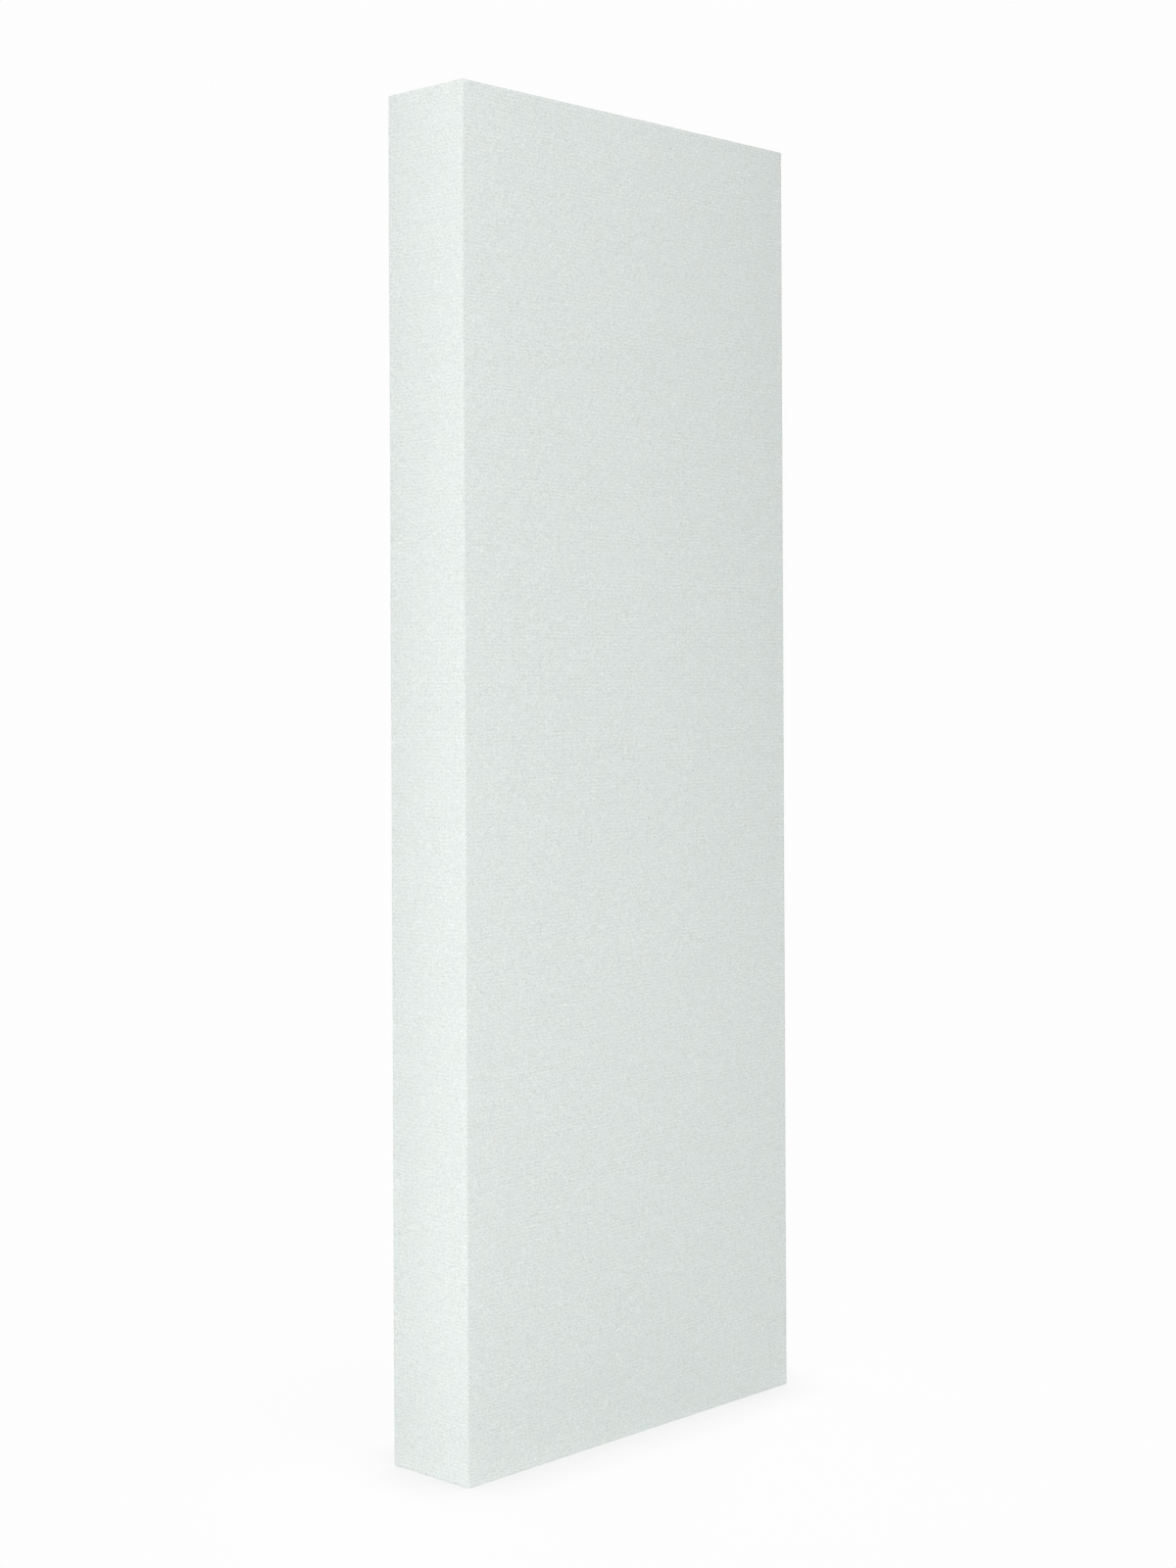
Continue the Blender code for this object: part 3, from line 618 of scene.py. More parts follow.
level_up = over_under(across, row)
upright_up = maths(weave, "SUBTRACT", 1.0, level_up)
level_height = maths(weave, "MULTIPLY", roundness(upwards, level_tone), level_up)
upright_height = maths(weave, "MULTIPLY", roundness(across, upright_tone), upright_up)
height = maths(weave, "MAXIMUM", level_height, upright_height)
on_top = maths(weave, "GREATER_THAN", level_height, upright_height)
tone = add_node(weave, "ShaderNodeMix", {0: on_top, 2: upright_tone, 3: level_tone}).outputs[0]
broken_up = clouds(weave, vectors(weave, "MULTIPLY", place, RIB_BREAKS_PER_METRE), 1.0)[0]
shifted = maths(weave, "MULTIPLY", broken_up, RIB_BREAKUP)
phase = maths(weave, "MULTIPLY_ADD", upwards, math.tau / THREADS_PER_RIB, shifted)
rib = maths(weave, "MULTIPLY", maths(weave, "COSINE", phase), given["Rib"])
weave.links.new(height, result["Height"])
weave.links.new(maths(weave, "MULTIPLY_ADD", tone, given["Unevenness"], rib), result["Tone"])
weave.links.new(ramp(weave, height, 0.42, 0.1), result["Gap"])
print("group:", weave.name)


# %% Laying colours over each other
def mix_colours(tree, share, first, second, blend="MIX"):
    """Lays the second colour over the first by a share from 0 to 1."""
    node = tree.nodes.new("ShaderNodeMix")
    node.data_type = "RGBA"
    node.blend_type = blend
    for place, value in ((0, share), (6, first), (7, second)):
        feed(tree, node.inputs[place], value)
    return node.outputs[2]


def cover(tree, colour, mask, most, over):
    """Lays another colour over this one where a mask says, and at most by the share given."""
    return mix_colours(tree, maths(tree, "MULTIPLY", mask, most), colour, over)


print("colour helpers ready")


# %% A material to fill in
def start_material(name, **fixed):
    """A new material. Returns it, its tree and its Principled shader, whose fixed values are set here."""
    material = bpy.data.materials.new(name)
    material.use_nodes = True
    shader = material.node_tree.nodes["Principled BSDF"]
    for socket, value in fixed.items():
        feed(material.node_tree, shader.inputs[socket.replace("_", " ")], value)
    return material, material.node_tree, shader.inputs


def metres_on(tree, cloth=False):
    """The place on the flat cloth, or on the object itself, both in metres."""
    if cloth:
        return add_node(tree, "ShaderNodeUVMap", uv_map="cloth").outputs[0]
    return tree.nodes.new("ShaderNodeTexCoord").outputs["Object"]


def dress(tree, shader, colour, roughness, height, depth):
    """Feeds the shader what varies: its colour, its roughness, and a bump of a depth in metres."""
    bump = add_node(tree, "ShaderNodeBump", {"Height": height, "Distance": depth, "Strength": 1.0})
    tree.links.new(colour, shader["Base Color"])
    tree.links.new(roughness, shader["Roughness"])
    tree.links.new(bump.outputs[0], shader["Normal"])


print("material helpers ready")

# %% Sizes of the cloth and of its corner folds
EDGE_RADIUS = 0.0010
CLOTH_THICKNESS = 0.0005
CLOTH_RETURN = 0.0155
FOLD_INSET = 0.0036
FOLD_DEPTH = 0.00048
FOLD_WIDTH = 0.00040
print("corner folds are", FOLD_INSET * 1000, "mm in from the sides")

# %% The cloth's finish: painted shade where it turns and folds
EDGE_LINE = (0.0004, 0.0017)
CREASE_STARTS = (0.0010, 0.0090)

pale_cloth, tree, shader = start_material(
    "pale_cloth", Roughness=0.92, Sheen_Weight=0.12, Sheen_Roughness=0.6, Specular_IOR_Level=0.25
)
place = metres_on(tree, cloth=True)
parts = parts_of(tree, place)


def apart(tree, first, second):
    """How far two numbers are from each other."""
    return maths(tree, "ABSOLUTE", maths(tree, "SUBTRACT", first, second))


def off_turns(out, half):
    """How far a spot lies from the nearer of the two lines where the cloth turns round an edge."""
    return maths(tree, "MINIMUM", apart(tree, out, half), apart(tree, out, half + wrap_size.y))


out_across = apart(tree, parts[0], 0.0)
out_along = apart(tree, parts[1], (wrap_low.z + wrap_high.z) / 2)
off_sides = off_turns(out_across, wrap_size.x / 2)
off_ends = off_turns(out_along, wrap_size.z / 2)
# Painted shade: the cloth is made darker along every edge it turns round, which tones down the highlight on
# its rounded edges.
painted_edge_shade = ramp(tree, maths(tree, "MINIMUM", off_sides, off_ends), *EDGE_LINE, 1.0, 0.0)
# Painted shadow: a thin dark line along each fold of the top and bottom flaps, fading in behind the front.
off_crease = apart(tree, out_across, wrap_size.x / 2 - FOLD_INSET)
in_crease = ramp(tree, off_crease, FOLD_WIDTH * 0.5, FOLD_WIDTH * 1.6, 1.0, 0.0)
past_end = ramp(tree, maths(tree, "SUBTRACT", out_along, wrap_size.z / 2), *CREASE_STARTS)
crease = maths(tree, "MULTIPLY", in_crease, past_end)
print("the edges show as lines", 1000 * EDGE_LINE[1], "mm wide on each side")

# %% The cloth's finish: its grain and colour
CLOTH_MINT = (0.797, 0.860, 0.843)
CLOTH_WARM = (0.817, 0.856, 0.822)
CLOTH_GAP_SHADE = (0.560, 0.625, 0.605)
GAP_SHADE_SHOWS = 0.55
WEAVE_DEPTH = 0.00012

threads = place_group(tree, weave, place, Unevenness=0.9)
fluff = place_group(tree, fibres, place, Size=0.0007, Length=2.0)
drifts = place_group(tree, fibres, place, Size=0.0055, Length=1.6)
tint = place_group(tree, patches, place, Size=0.020, Firmness=0.1)
colour = mix_colours(tree, tint["Mask"], CLOTH_MINT, CLOTH_WARM)
# Painted shade in the gaps between the threads.
colour = cover(tree, colour, threads["Gap"], GAP_SHADE_SHOWS, CLOTH_GAP_SHADE)
shade = 1.0
for effect, strength in (
    (threads["Tone"], 0.10),
    (fluff["Tone"], 0.165),
    (drifts["Tone"], 0.007),
    # Painted shade along the turned edges.
    (painted_edge_shade, -0.06),
    # Painted shadow in the folds.
    (crease, -0.36),
):
    shade = maths(tree, "MULTIPLY_ADD", effect, strength, shade)
colour = mix_colours(tree, 1.0, colour, shade, "MULTIPLY")
roughness = ramp(tree, threads["Height"], 0, 1, 0.98, 0.86)
height = maths(tree, "MULTIPLY_ADD", fluff["Height"], 0.25, threads["Height"])
dress(tree, shader, colour, roughness, height, WEAVE_DEPTH)
print("finish:", pale_cloth.name)

# %% [markdown]
# ## The cloth wrap
# One rectangle of cloth covers the front and turns round the four edges on to the back. It is stretched, so
# the broad faces are flat and the edges are crisp. The spare cloth at the corners is tucked under the top
# and bottom flaps: a fold runs along each end of the top and bottom face, with a thin painted shadow in it,
# and the tucked triangle shows through the top flap as a low step at 45 degrees.
#
# A cloth simulation would find the same shape slowly and less exactly, because stretched cloth has nowhere
# to hang. So the folds are pushed into the skin by rule, deep enough to catch the light and shallow enough
# to stay in the gap over the boards.

# %% Two curves for soft changes
def smooth_step(value, low, high):
    """0 below low, 1 above high, and an eased change between."""
    t = min(max((value - low) / (high - low), 0.0), 1.0)
    return t * t * (3 - 2 * t)


def bell(value, width):
    """1 at 0, falling away on both sides over a width."""
    return math.exp(-((value / width) ** 2))


print("a third of the way, the eased step is at", round(smooth_step(1 / 3, 0, 1), 2))

# %% How the cloth stands on the box
TUCK_STEP, TUCK_RISES = 0.0005, 0.002
TUCK_SLOPE = (-0.002, 0.003)
FOLD_FADES_IN = (0.001, 0.012)
RETURN_FADES = 0.004
FOLD_AT_TURN, TURN_EASES = 0.15, 0.0025
LIP_HEIGHT, LIP_RISES, LIP_REACH = 0.00022, 0.0006, 0.008
STAPLE_PITCH = 0.045
PULL_DEPTH, PULL_REACH = 0.00010, 0.010
UNEVEN_DEPTH, UNEVEN_PER_METRE = 0.00016, 9.0
NEARLY_FACING = (0.5, 0.9)


def wrap_push(place, out):
    """How far the cloth stands out of the plain rounded box at a place on it."""
    from_side = min(place.x - wrap_low.x, wrap_high.x - place.x)
    from_end = min(place.z - wrap_low.z, wrap_high.z - place.z)
    from_front, from_back = place.y - wrap_low.y, wrap_high.y - place.y
    on_end = smooth_step(abs(out.z), *NEARLY_FACING)
    on_return = smooth_step(out.y, *NEARLY_FACING)
    on_return *= 1 - smooth_step(from_end, CLOTH_RETURN, CLOTH_RETURN + RETURN_FADES)
    folded = max(on_end * smooth_step(from_front, *FOLD_FADES_IN), on_return)
    crease = bell(from_side - FOLD_INSET, FOLD_WIDTH)
    lip = smooth_step(from_side, FOLD_INSET, FOLD_INSET + LIP_RISES) * math.exp(-from_side / LIP_REACH)
    past_turn = smooth_step(max(from_back, from_end), EDGE_RADIUS, EDGE_RADIUS + TURN_EASES)
    depth = FOLD_DEPTH * (FOLD_AT_TURN + (1 - FOLD_AT_TURN) * past_turn)
    push = folded * (LIP_HEIGHT * lip - depth * crease)
    if out.z > 0.5:
        behind_tuck = smooth_step(from_front - from_side, *TUCK_SLOPE)
        inwards = smooth_step(from_side, FOLD_INSET, FOLD_INSET + TUCK_RISES)
        push += on_end * TUCK_STEP * behind_tuck * inwards
    if abs(out.z) < 0.5:
        pulled = math.cos(math.tau * place.z / STAPLE_PITCH) * math.exp(-from_back / PULL_REACH)
        push += PULL_DEPTH * pulled * smooth_step(abs(out.x), *NEARLY_FACING)
        push += UNEVEN_DEPTH * noise.noise(place * UNEVEN_PER_METRE)
    return min(push, 0.0) if out.z < -0.5 else push


print("the tucked cloth lifts the top by", TUCK_STEP * 1000, "mm")


# %% Where each point lies on the flat cloth
def on_flat_cloth(side, place, middle):
    """Unfolds the wrap: a point's place on the uncut cloth, in metres from the front's bottom middle."""
    around = place.y - wrap_low.y
    if side == "front":
        return place.x, place.z
    if side in ("left", "right"):
        return (wrap_low.x - around, place.z) if side == "left" else (wrap_high.x + around, place.z)
    if side in ("top", "bottom"):
        return place.x, (wrap_high.z + around if side == "top" else wrap_low.z - around)
    if middle.z > wrap_high.z - CLOTH_RETURN:
        return place.x, 2 * wrap_high.z + wrap_size.y - place.z
    if middle.z < wrap_low.z + CLOTH_RETURN:
        return place.x, 2 * wrap_low.z - wrap_size.y - place.z
    if middle.x < 0:
        return 2 * wrap_low.x - wrap_size.y - place.x, place.z
    return 2 * wrap_high.x + wrap_size.y - place.x, place.z


def on_wrap(side, middle):
    """Leaves the middle of the back open."""
    inside_x = wrap_low.x + CLOTH_RETURN < middle.x < wrap_high.x - CLOTH_RETURN
    inside_z = wrap_low.z + CLOTH_RETURN < middle.z < wrap_high.z - CLOTH_RETURN
    return not (side == "back" and inside_x and inside_z)


print("unfolded, the front is the middle of the cloth")

# %% Build the wrap
# Steps in metres between the lattice's lines.
WIDE_STEP, DEEP_STEP, TALL_STEP, TUCK_LINE_STEP = 0.015, 0.0045, 0.011, 0.0045
ROUND_THE_FOLD = (-0.0010, -0.0006, -0.0003, 0.0, 0.0003, 0.0006, 0.0010, 0.0020, 0.0040)

rounding = rounding_lines(EDGE_RADIUS)
fold_lines = [FOLD_INSET + step for step in ROUND_THE_FOLD]
tuck_lines = [CLOTH_RETURN - 0.005] + [CLOTH_RETURN + TUCK_LINE_STEP * i for i in range(19)]
lines = [
    lattice_lines(wrap_low.x, wrap_high.x, rounding + fold_lines + tuck_lines, WIDE_STEP),
    lattice_lines(wrap_low.y, wrap_high.y, rounding + [0.004, 0.008], DEEP_STEP),
    lattice_lines(wrap_low.z, wrap_high.z, rounding + [0.006, CLOTH_RETURN, 0.022], TALL_STEP),
]
skin = rounded_skin(lines, EDGE_RADIUS, wrap_push, on_wrap, on_flat_cloth)
wrap = add_piece("woven_wrap", skin, pale_cloth)
thicken(wrap, CLOTH_THICKNESS)
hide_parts("cloth_wrap")

# %% [markdown]
# ## The black dust cover
# A thin spun-bonded fleece closes the back, so that fibres stay inside. It is stapled to the frame all
# round. On the real panel it never looks like a flat plate: it steps down from the folded cloth on to the
# boards, sinks a little between the braces, so that the hidden boards show through as flat bands, and
# puckers between its staples. The fleece is thin, so the pale wood and cloth behind it show through as
# slightly lighter bands. The sag could come from a cloth simulation, but it is only 3 mm deep, so a rule
# that depends on the distance to the nearest board does it exactly and at once. The same distance is kept
# on every point of the fleece, where its finish can read it.

# %% The fleece's finish: bonded fibres
FLEECE_BLACK = (0.016, 0.017, 0.019)
FLEECE_FIBRE = (0.052, 0.054, 0.058)
BOND_PITCH = 0.0016

black_fleece, tree, shader = start_material(
    "black_fleece", Roughness=0.88, Sheen_Weight=0.25, Sheen_Roughness=0.5, Specular_IOR_Level=0.3
)
place = metres_on(tree)
dotted = {"Vector": place, "Scale": 1 / BOND_PITCH, "Randomness": 0.25}
bonds = add_node(tree, "ShaderNodeTexVoronoi", dotted).outputs["Distance"]
pressed = ramp(tree, bonds, 0.36, 0.22)
strands = place_group(tree, fibres, place, Size=0.0005, Length=3.5)
crosswise = vectors(tree, "MULTIPLY", place, (1, 1, 0.3))
crossed = place_group(tree, fibres, crosswise, Size=0.0004, Length=1.0)
cloudy = place_group(tree, patches, place, Size=0.03, Firmness=0.0)
lint = maths(tree, "MULTIPLY", maths(tree, "ADD", strands["Height"], crossed["Height"]), 0.5)
shown = maths(tree, "MULTIPLY_ADD", cloudy["Mask"], 0.25, maths(tree, "MULTIPLY", lint, 0.75))
colour = mix_colours(tree, shown, FLEECE_BLACK, FLEECE_FIBRE)
colour = cover(tree, colour, pressed, 0.5, FLEECE_BLACK)
print("bonds", 1000 * BOND_PITCH, "mm apart")

# %% The fleece's finish: what shows through it
BOARD_THROUGH = (0.050, 0.046, 0.042)
CLOTH_THROUGH = (0.088, 0.093, 0.093)
FLEECE_DUST = (0.30, 0.29, 0.27)
BOARD_FADES, CLOTH_FADES = (-0.0008, 0.0045), (0.0098, 0.0116)
FLEECE_RELIEF = 0.00009

to_board = add_node(tree, "ShaderNodeAttribute", attribute_name="to_board").outputs["Fac"]
to_rim = add_node(tree, "ShaderNodeAttribute", attribute_name="to_rim").outputs["Fac"]
ragged = maths(tree, "MULTIPLY_ADD", strands["Tone"], 0.0006, to_board)
over_board = ramp(tree, ragged, *BOARD_FADES, 0.7, 0.0)
ragged = maths(tree, "MULTIPLY_ADD", strands["Tone"], 0.0004, to_rim)
over_cloth = ramp(tree, ragged, *CLOTH_FADES, 1.0, 0.0)
open_spots = maths(tree, "SUBTRACT", 1.0, maths(tree, "MULTIPLY", lint, 0.6))
colour = cover(tree, colour, over_board, open_spots, BOARD_THROUGH)
colour = cover(tree, colour, over_cloth, open_spots, CLOTH_THROUGH)
settled = place_group(tree, dust, place, Amount=0.35, Speck_size=0.006)
colour = mix_colours(tree, settled["Mask"], colour, FLEECE_DUST)
relief = maths(tree, "SUBTRACT", maths(tree, "MULTIPLY", lint, 0.6), maths(tree, "MULTIPLY", pressed, 0.8))
dress(tree, shader, colour, ramp(tree, pressed, 0, 1, 0.92, 0.66), relief, FLEECE_RELIEF)
print("finish:", black_fleece.name)

# %% What holds the fleece up
COVER_THICKNESS = 0.0004
COVER_RIM = 0.0109
COVER_SLOPE = 0.0042
COVER_LIES_LOWER = 0.0001
SOLID_COVER_THICKNESS = 0.0005

border_y = cover_high.y - COVER_LIES_LOWER
middle_y = cover_low.y + SOLID_COVER_THICKNESS
middle_z = (cover_low.z + cover_high.z) / 2
braces = [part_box(name) for name in ("hanging_rail", "middle_brace", "lower_brace")]
gussets = [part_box(f"{level}_{side}_gusset") for level in ("lower", "upper") for side in ("left", "right")]
bay_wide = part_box("right_stile")[0].x
bay_ends = (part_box("bottom_rail")[1].z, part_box("top_rail")[0].z)


def gap_to_gusset(x, z, low, high):
    """Distance past a gusset's long edge. Its square corner is the one furthest from the middle."""
    in_x = (high.x - x if low.x > 0 else x - low.x) / (high.x - low.x)
    in_z = (high.z - z if low.z > middle_z else z - low.z) / (high.z - low.z)
    return (in_x + in_z - 1) * (high.x - low.x) / math.sqrt(2)


def gap_to_board(x, z):
    """Distance from a place on the back to the nearest board behind it, below 0 over a board."""
    gaps = [bay_wide - abs(x), z - bay_ends[0], bay_ends[1] - z]
    gaps += [max(low.z - z, z - high.z) for low, high in braces]
    gaps += [gap_to_gusset(x, z, low, high) for low, high in gussets]
    return min(gaps)


def gap_to_rim(x, z):
    """Distance from a place on the back to the nearest edge of the fleece."""
    return min(x - cover_low.x, cover_high.x - x, z - cover_low.z, cover_high.z - z)


print("the middle of the lowest bay is", round(1000 * gap_to_board(0, 0.09)), "mm from a board")

# %% Staples every few centimetres
STAPLE_INSET = 0.0060
STAPLE_SPACING = 0.057
STAPLE_FROM_CORNER = 0.0302


def staple_places(low, high):
    """Even places along one side of the cover."""
    first, last = low + STAPLE_FROM_CORNER, high - STAPLE_FROM_CORNER
    count = round((last - first) / STAPLE_SPACING)
    return [first + (last - first) * i / count for i in range(count + 1)]


across_places = staple_places(cover_low.x, cover_high.x)
upright_places = staple_places(cover_low.z, cover_high.z)
print(len(across_places), "staples across each end and", len(upright_places), "up each side")

# %% Puckers and ripples
PUCKER_WIDE = 0.011


def pucker(along, from_edge, places):
    """From 0 at a staple to 1 half way between two of them, fading in from the edge of the fleece."""
    between = (along - places[0]) / (places[1] - places[0]) % 1.0
    return math.sin(math.pi * between) ** 2 * bell(from_edge - STAPLE_INSET, PUCKER_WIDE)


def flutter(x, z, per_metre, layer):
    """Smooth random changes from -1 to 1 over the plan of the back."""
    return noise.noise(Vector((x * per_metre, layer, z * per_metre)))


print("puckers reach", 1000 * PUCKER_WIDE, "mm from the line of staples")

# %% How the fleece lies
SAG_DEPTH, SAG_REACH = 0.0030, 0.040
SAG_STARTS, SAG_EASES = 0.003, 0.005
RIPPLE_DEPTH, RIPPLE_STARTS = 0.00022, (0.002, 0.02)
PUCKER_LIFT = 0.00050
STAPLE_DENT, DENT_WIDE = 0.00012, 0.004
EDGE_REACH, EDGE_LOOSENS, EDGE_WAVERS = 0.008, 0.0006, 0.0005


def cover_place(x, z):
    """Lifts a place on the back's plan to where the fleece really lies."""
    from_side = min(x - cover_low.x, cover_high.x - x)
    from_end = min(z - cover_low.z, cover_high.z - z)
    from_edge = min(from_side, from_end)
    if from_side < from_end:
        rise = pucker(z, from_side, upright_places)
    else:
        rise = pucker(x, from_end, across_places)
    y = border_y + (middle_y - border_y) * smooth_step(from_edge, COVER_RIM, COVER_RIM + COVER_SLOPE)
    gap = max(0.0, gap_to_board(x, z) - SAG_STARTS)
    eased = gap * gap / (gap + SAG_EASES)
    y -= SAG_DEPTH * (1 - math.exp(-eased / SAG_REACH))
    ripple = flutter(x, z, 16, 3.1) + 0.5 * flutter(x, z, 45, 7.7)
    y += RIPPLE_DEPTH * ripple * smooth_step(gap, *RIPPLE_STARTS)
    y += PUCKER_LIFT * rise - STAPLE_DENT * (1 - rise) * bell(from_edge - STAPLE_INSET, DENT_WIDE)
    loose = EDGE_LOOSENS * rise + EDGE_WAVERS * flutter(x, z, 70, 0.0)
    loose *= 1 - smooth_step(from_edge, 0.0, EDGE_REACH)
    if from_side <= from_end:
        x += math.copysign(loose, x)
    else:
        z += math.copysign(loose, z - middle_z)
    return Vector((x, y, z))


print("fleece lies from", round(1000 * border_y, 1), "to", round(1000 * (middle_y - SAG_DEPTH), 1), "mm back")


# %% A sheet over a plan
def flat_sheet(columns, rows, place_at, marks=None):
    """Builds a sheet over a plan of columns and rows. place_at(x, z) says where each point lies, and marks
    are named numbers that every point keeps, each worked out from x and z."""
    shape = bmesh.new()
    layers = {name: shape.verts.layers.float.new(name) for name in marks or {}}
    grid = []
    for x in columns:
        grid.append([shape.verts.new(place_at(x, z)) for z in rows])
        for vert, z in zip(grid[-1], rows):
            for name, layer in layers.items():
                vert[layer] = marks[name](x, z)
    for left, right in zip(grid, grid[1:]):
        for j in range(len(rows) - 1):
            shape.faces.new((left[j], left[j + 1], right[j + 1], right[j])).smooth = True
    return shape


print("the sheet builder is ready")


# %% Build the fleece
def with_lines(lines, extra, too_near=0.0018):
    """Adds lines where something happens, in place of those that lie too near them."""
    made = [line for line in lines if all(abs(line - new) > too_near for new in extra)]
    return sorted(made + list(extra))


RIM_LINES = [0, 0.0015, 0.0035, 0.0060, 0.0085, 0.0109, 0.0120, 0.0130, 0.0141, 0.0151, 0.0175, 0.021]
FLEECE_STEP = 0.0055

brace_lines = [edge + step for low, high in braces for edge in (low.z, high.z) for step in (-0.002, 0.002)]
columns = lattice_lines(cover_low.x, cover_high.x, RIM_LINES, FLEECE_STEP)
rows = with_lines(lattice_lines(cover_low.z, cover_high.z, RIM_LINES, FLEECE_STEP), brace_lines)
shape = flat_sheet(columns, rows, cover_place, {"to_board": gap_to_board, "to_rim": gap_to_rim})
fleece = add_piece("back_fleece", shape, black_fleece)
thicken(fleece, COVER_THICKNESS)
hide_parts("dust_cover")
print("fleece:", len(fleece.data.polygons), "faces")

# %% [markdown]
# ## The bright hardware
# Staples, hanging rings, their straps and every screw are zinc plated steel. Plating this thin isn't a
# mirror. It has a slightly cloudy, bluish film with tiny crystals, and it is brighter where edges are
# rubbed. Its colour comes almost wholly from what it reflects, so the metal stays plain and the roughness
# does the work.

# %% The zinc finish
ZINC_BRIGHT = (0.64, 0.66, 0.68)
ZINC_CLOUDY = (0.46, 0.49, 0.53)
ZINC_RUBBED = (0.84, 0.85, 0.86)
CRYSTALS_PER_METRE = 1400.0
ZINC_RELIEF = 0.00002

zinc_steel, tree, shader = start_material("zinc_steel", Metallic=1.0)
place = metres_on(tree)
crystals = add_node(tree, "ShaderNodeTexVoronoi", {"Vector": place, "Scale": CRYSTALS_PER_METRE})
spangle = add_node(tree, "ShaderNodeSeparateColor", {0: crystals.outputs["Color"]}).outputs[0]
film = place_group(tree, patches, place, Size=0.004, Firmness=0.1)
worn = place_group(tree, rubbed, place, Width=0.0005, Breakup=0.5)
scored = place_group(tree, scratches, place, Spacing=0.0016, Cover=0.7)
cloudy = maths(tree, "MULTIPLY_ADD", film["Mask"], 0.6, maths(tree, "MULTIPLY", spangle, 0.25))
bright = maths(tree, "MAXIMUM", worn["Mask"], scored["Mask"])
colour = mix_colours(tree, cloudy, ZINC_BRIGHT, ZINC_CLOUDY)
colour = cover(tree, colour, bright, 0.8, ZINC_RUBBED)
roughness = maths(tree, "MULTIPLY_ADD", cloudy, 0.18, 0.27)
roughness = maths(tree, "MULTIPLY_ADD", bright, -0.09, roughness)
height = maths(tree, "MULTIPLY_ADD", scored["Mask"], -0.6, maths(tree, "MULTIPLY", spangle, 0.3))
dress(tree, shader, colour, roughness, height, ZINC_RELIEF)
print("finish:", zinc_steel.name)

# %% [markdown]
# ## Staples
# Each staple is a flat wire bent twice. Only its crown and the start of its legs can be seen, because the
# rest is in the wood. A swept section along a short path with two arcs gives the rounded shoulders that
# catch the light, which a stretched cube would not.

# %% Sweep a flat wire along a path
EASED_SHARE = 0.25


def sweep(shape, path, side, wide, thick):
    """A flat wire with eased edges. side is the direction of its width, the same all along the path."""
    w, t, ease = wide / 2, thick / 2, thick * EASED_SHARE
    section = [(w, t - ease), (w - ease, t), (ease - w, t), (-w, t - ease)]
    section += [(-a, -b) for a, b in section]
    rings = []
    for i, point in enumerate(path):
        run = (path[min(i + 1, len(path) - 1)] - path[max(i - 1, 0)]).normalized()
        lift = side.cross(run)
        rings.append([shape.verts.new(point + side * a + lift * b) for a, b in section])
    for near, far in zip(rings, rings[1:]):
        for i in range(len(section)):
            j = (i + 1) % len(section)
            shape.faces.new((near[i], near[j], far[j], far[i])).smooth = True
    shape.faces.new(rings[0][::-1])
    shape.faces.new(rings[-1])


print("edges eased by", EASED_SHARE, "of the thickness")

# %% Bend one staple
STAPLE_CROWN, STAPLE_LEG, STAPLE_BEND = 0.0104, 0.0026, 0.0009
STAPLE_WIDE, STAPLE_THICK = 0.0012, 0.0006
BEND_STEPS = 4


def staple(shape, place, along, lean):
    """One staple driven into the back at a place, its crown along a direction, leaning by a few degrees."""
    out = Vector((0, 1, 0))
    cos, sin = math.cos(lean), math.sin(lean)
    along = Vector((along.x * cos + along.z * sin, 0, along.z * cos - along.x * sin))
    half = STAPLE_CROWN / 2
    path = [place - along * half - out * STAPLE_LEG]
    steps = range(BEND_STEPS + 1)
    for sign, order in ((-1, steps), (1, reversed(steps))):
        for step in order:
            turn = math.radians(90 * step / BEND_STEPS)
            reach = half - STAPLE_BEND * (1 - math.cos(turn))
            path.append(place + along * sign * reach - out * STAPLE_BEND * (1 - math.sin(turn)))
    path.append(place + along * half - out * STAPLE_LEG)
    sweep(shape, path, along.cross(out), STAPLE_WIDE, STAPLE_THICK)


print("staple crown", 1000 * STAPLE_CROWN, "mm")

# %% Drive the staples
LEANS = (-5.0, 2.0, 7.0, -1.5, 4.0, -8.0, 0.5)
ACROSS, UPRIGHT = Vector((1, 0, 0)), Vector((0, 0, 1))

crown_y = border_y - STAPLE_DENT + STAPLE_THICK / 2
end_rows = (cover_low.z + STAPLE_INSET, cover_high.z - STAPLE_INSET)
side_rows = (cover_low.x + STAPLE_INSET, cover_high.x - STAPLE_INSET)
driven = [(Vector((x, crown_y, z)), ACROSS) for x in across_places for z in end_rows]
driven += [(Vector((x, crown_y, z)), UPRIGHT) for z in upright_places for x in side_rows]
shape = bmesh.new()
for number, (place, along) in enumerate(driven):
    staple(shape, place, along, math.radians(LEANS[number % len(LEANS)]))
bmesh.ops.recalc_face_normals(shape, faces=shape.faces)
add_piece("cover_staples", shape, zinc_steel)
print(len(driven), "staples")

# %% [markdown]
# ## Rubber, wood and wool
# The bumpers are moulded rubber: dark, dull, faintly mottled and a little dusty. The boards are birch, with
# narrow bands and short dark pores that run along each board. The wool is pressed from golden fibres in
# thin layers, and its veil is a fine white glass tissue. Most of this is hidden while the panel is whole,
# but the part comes apart on a bench, so it is finished inside as well.

# %% The rubber's finish
RUBBER_DARK, RUBBER_PALE = (0.018, 0.018, 0.019), (0.030, 0.030, 0.031)
RUBBER_CHALK, RUBBER_DUST = (0.085, 0.083, 0.080), (0.34, 0.33, 0.31)
PITS_PER_METRE, PIT_DEPTH = 2600.0, 0.00004

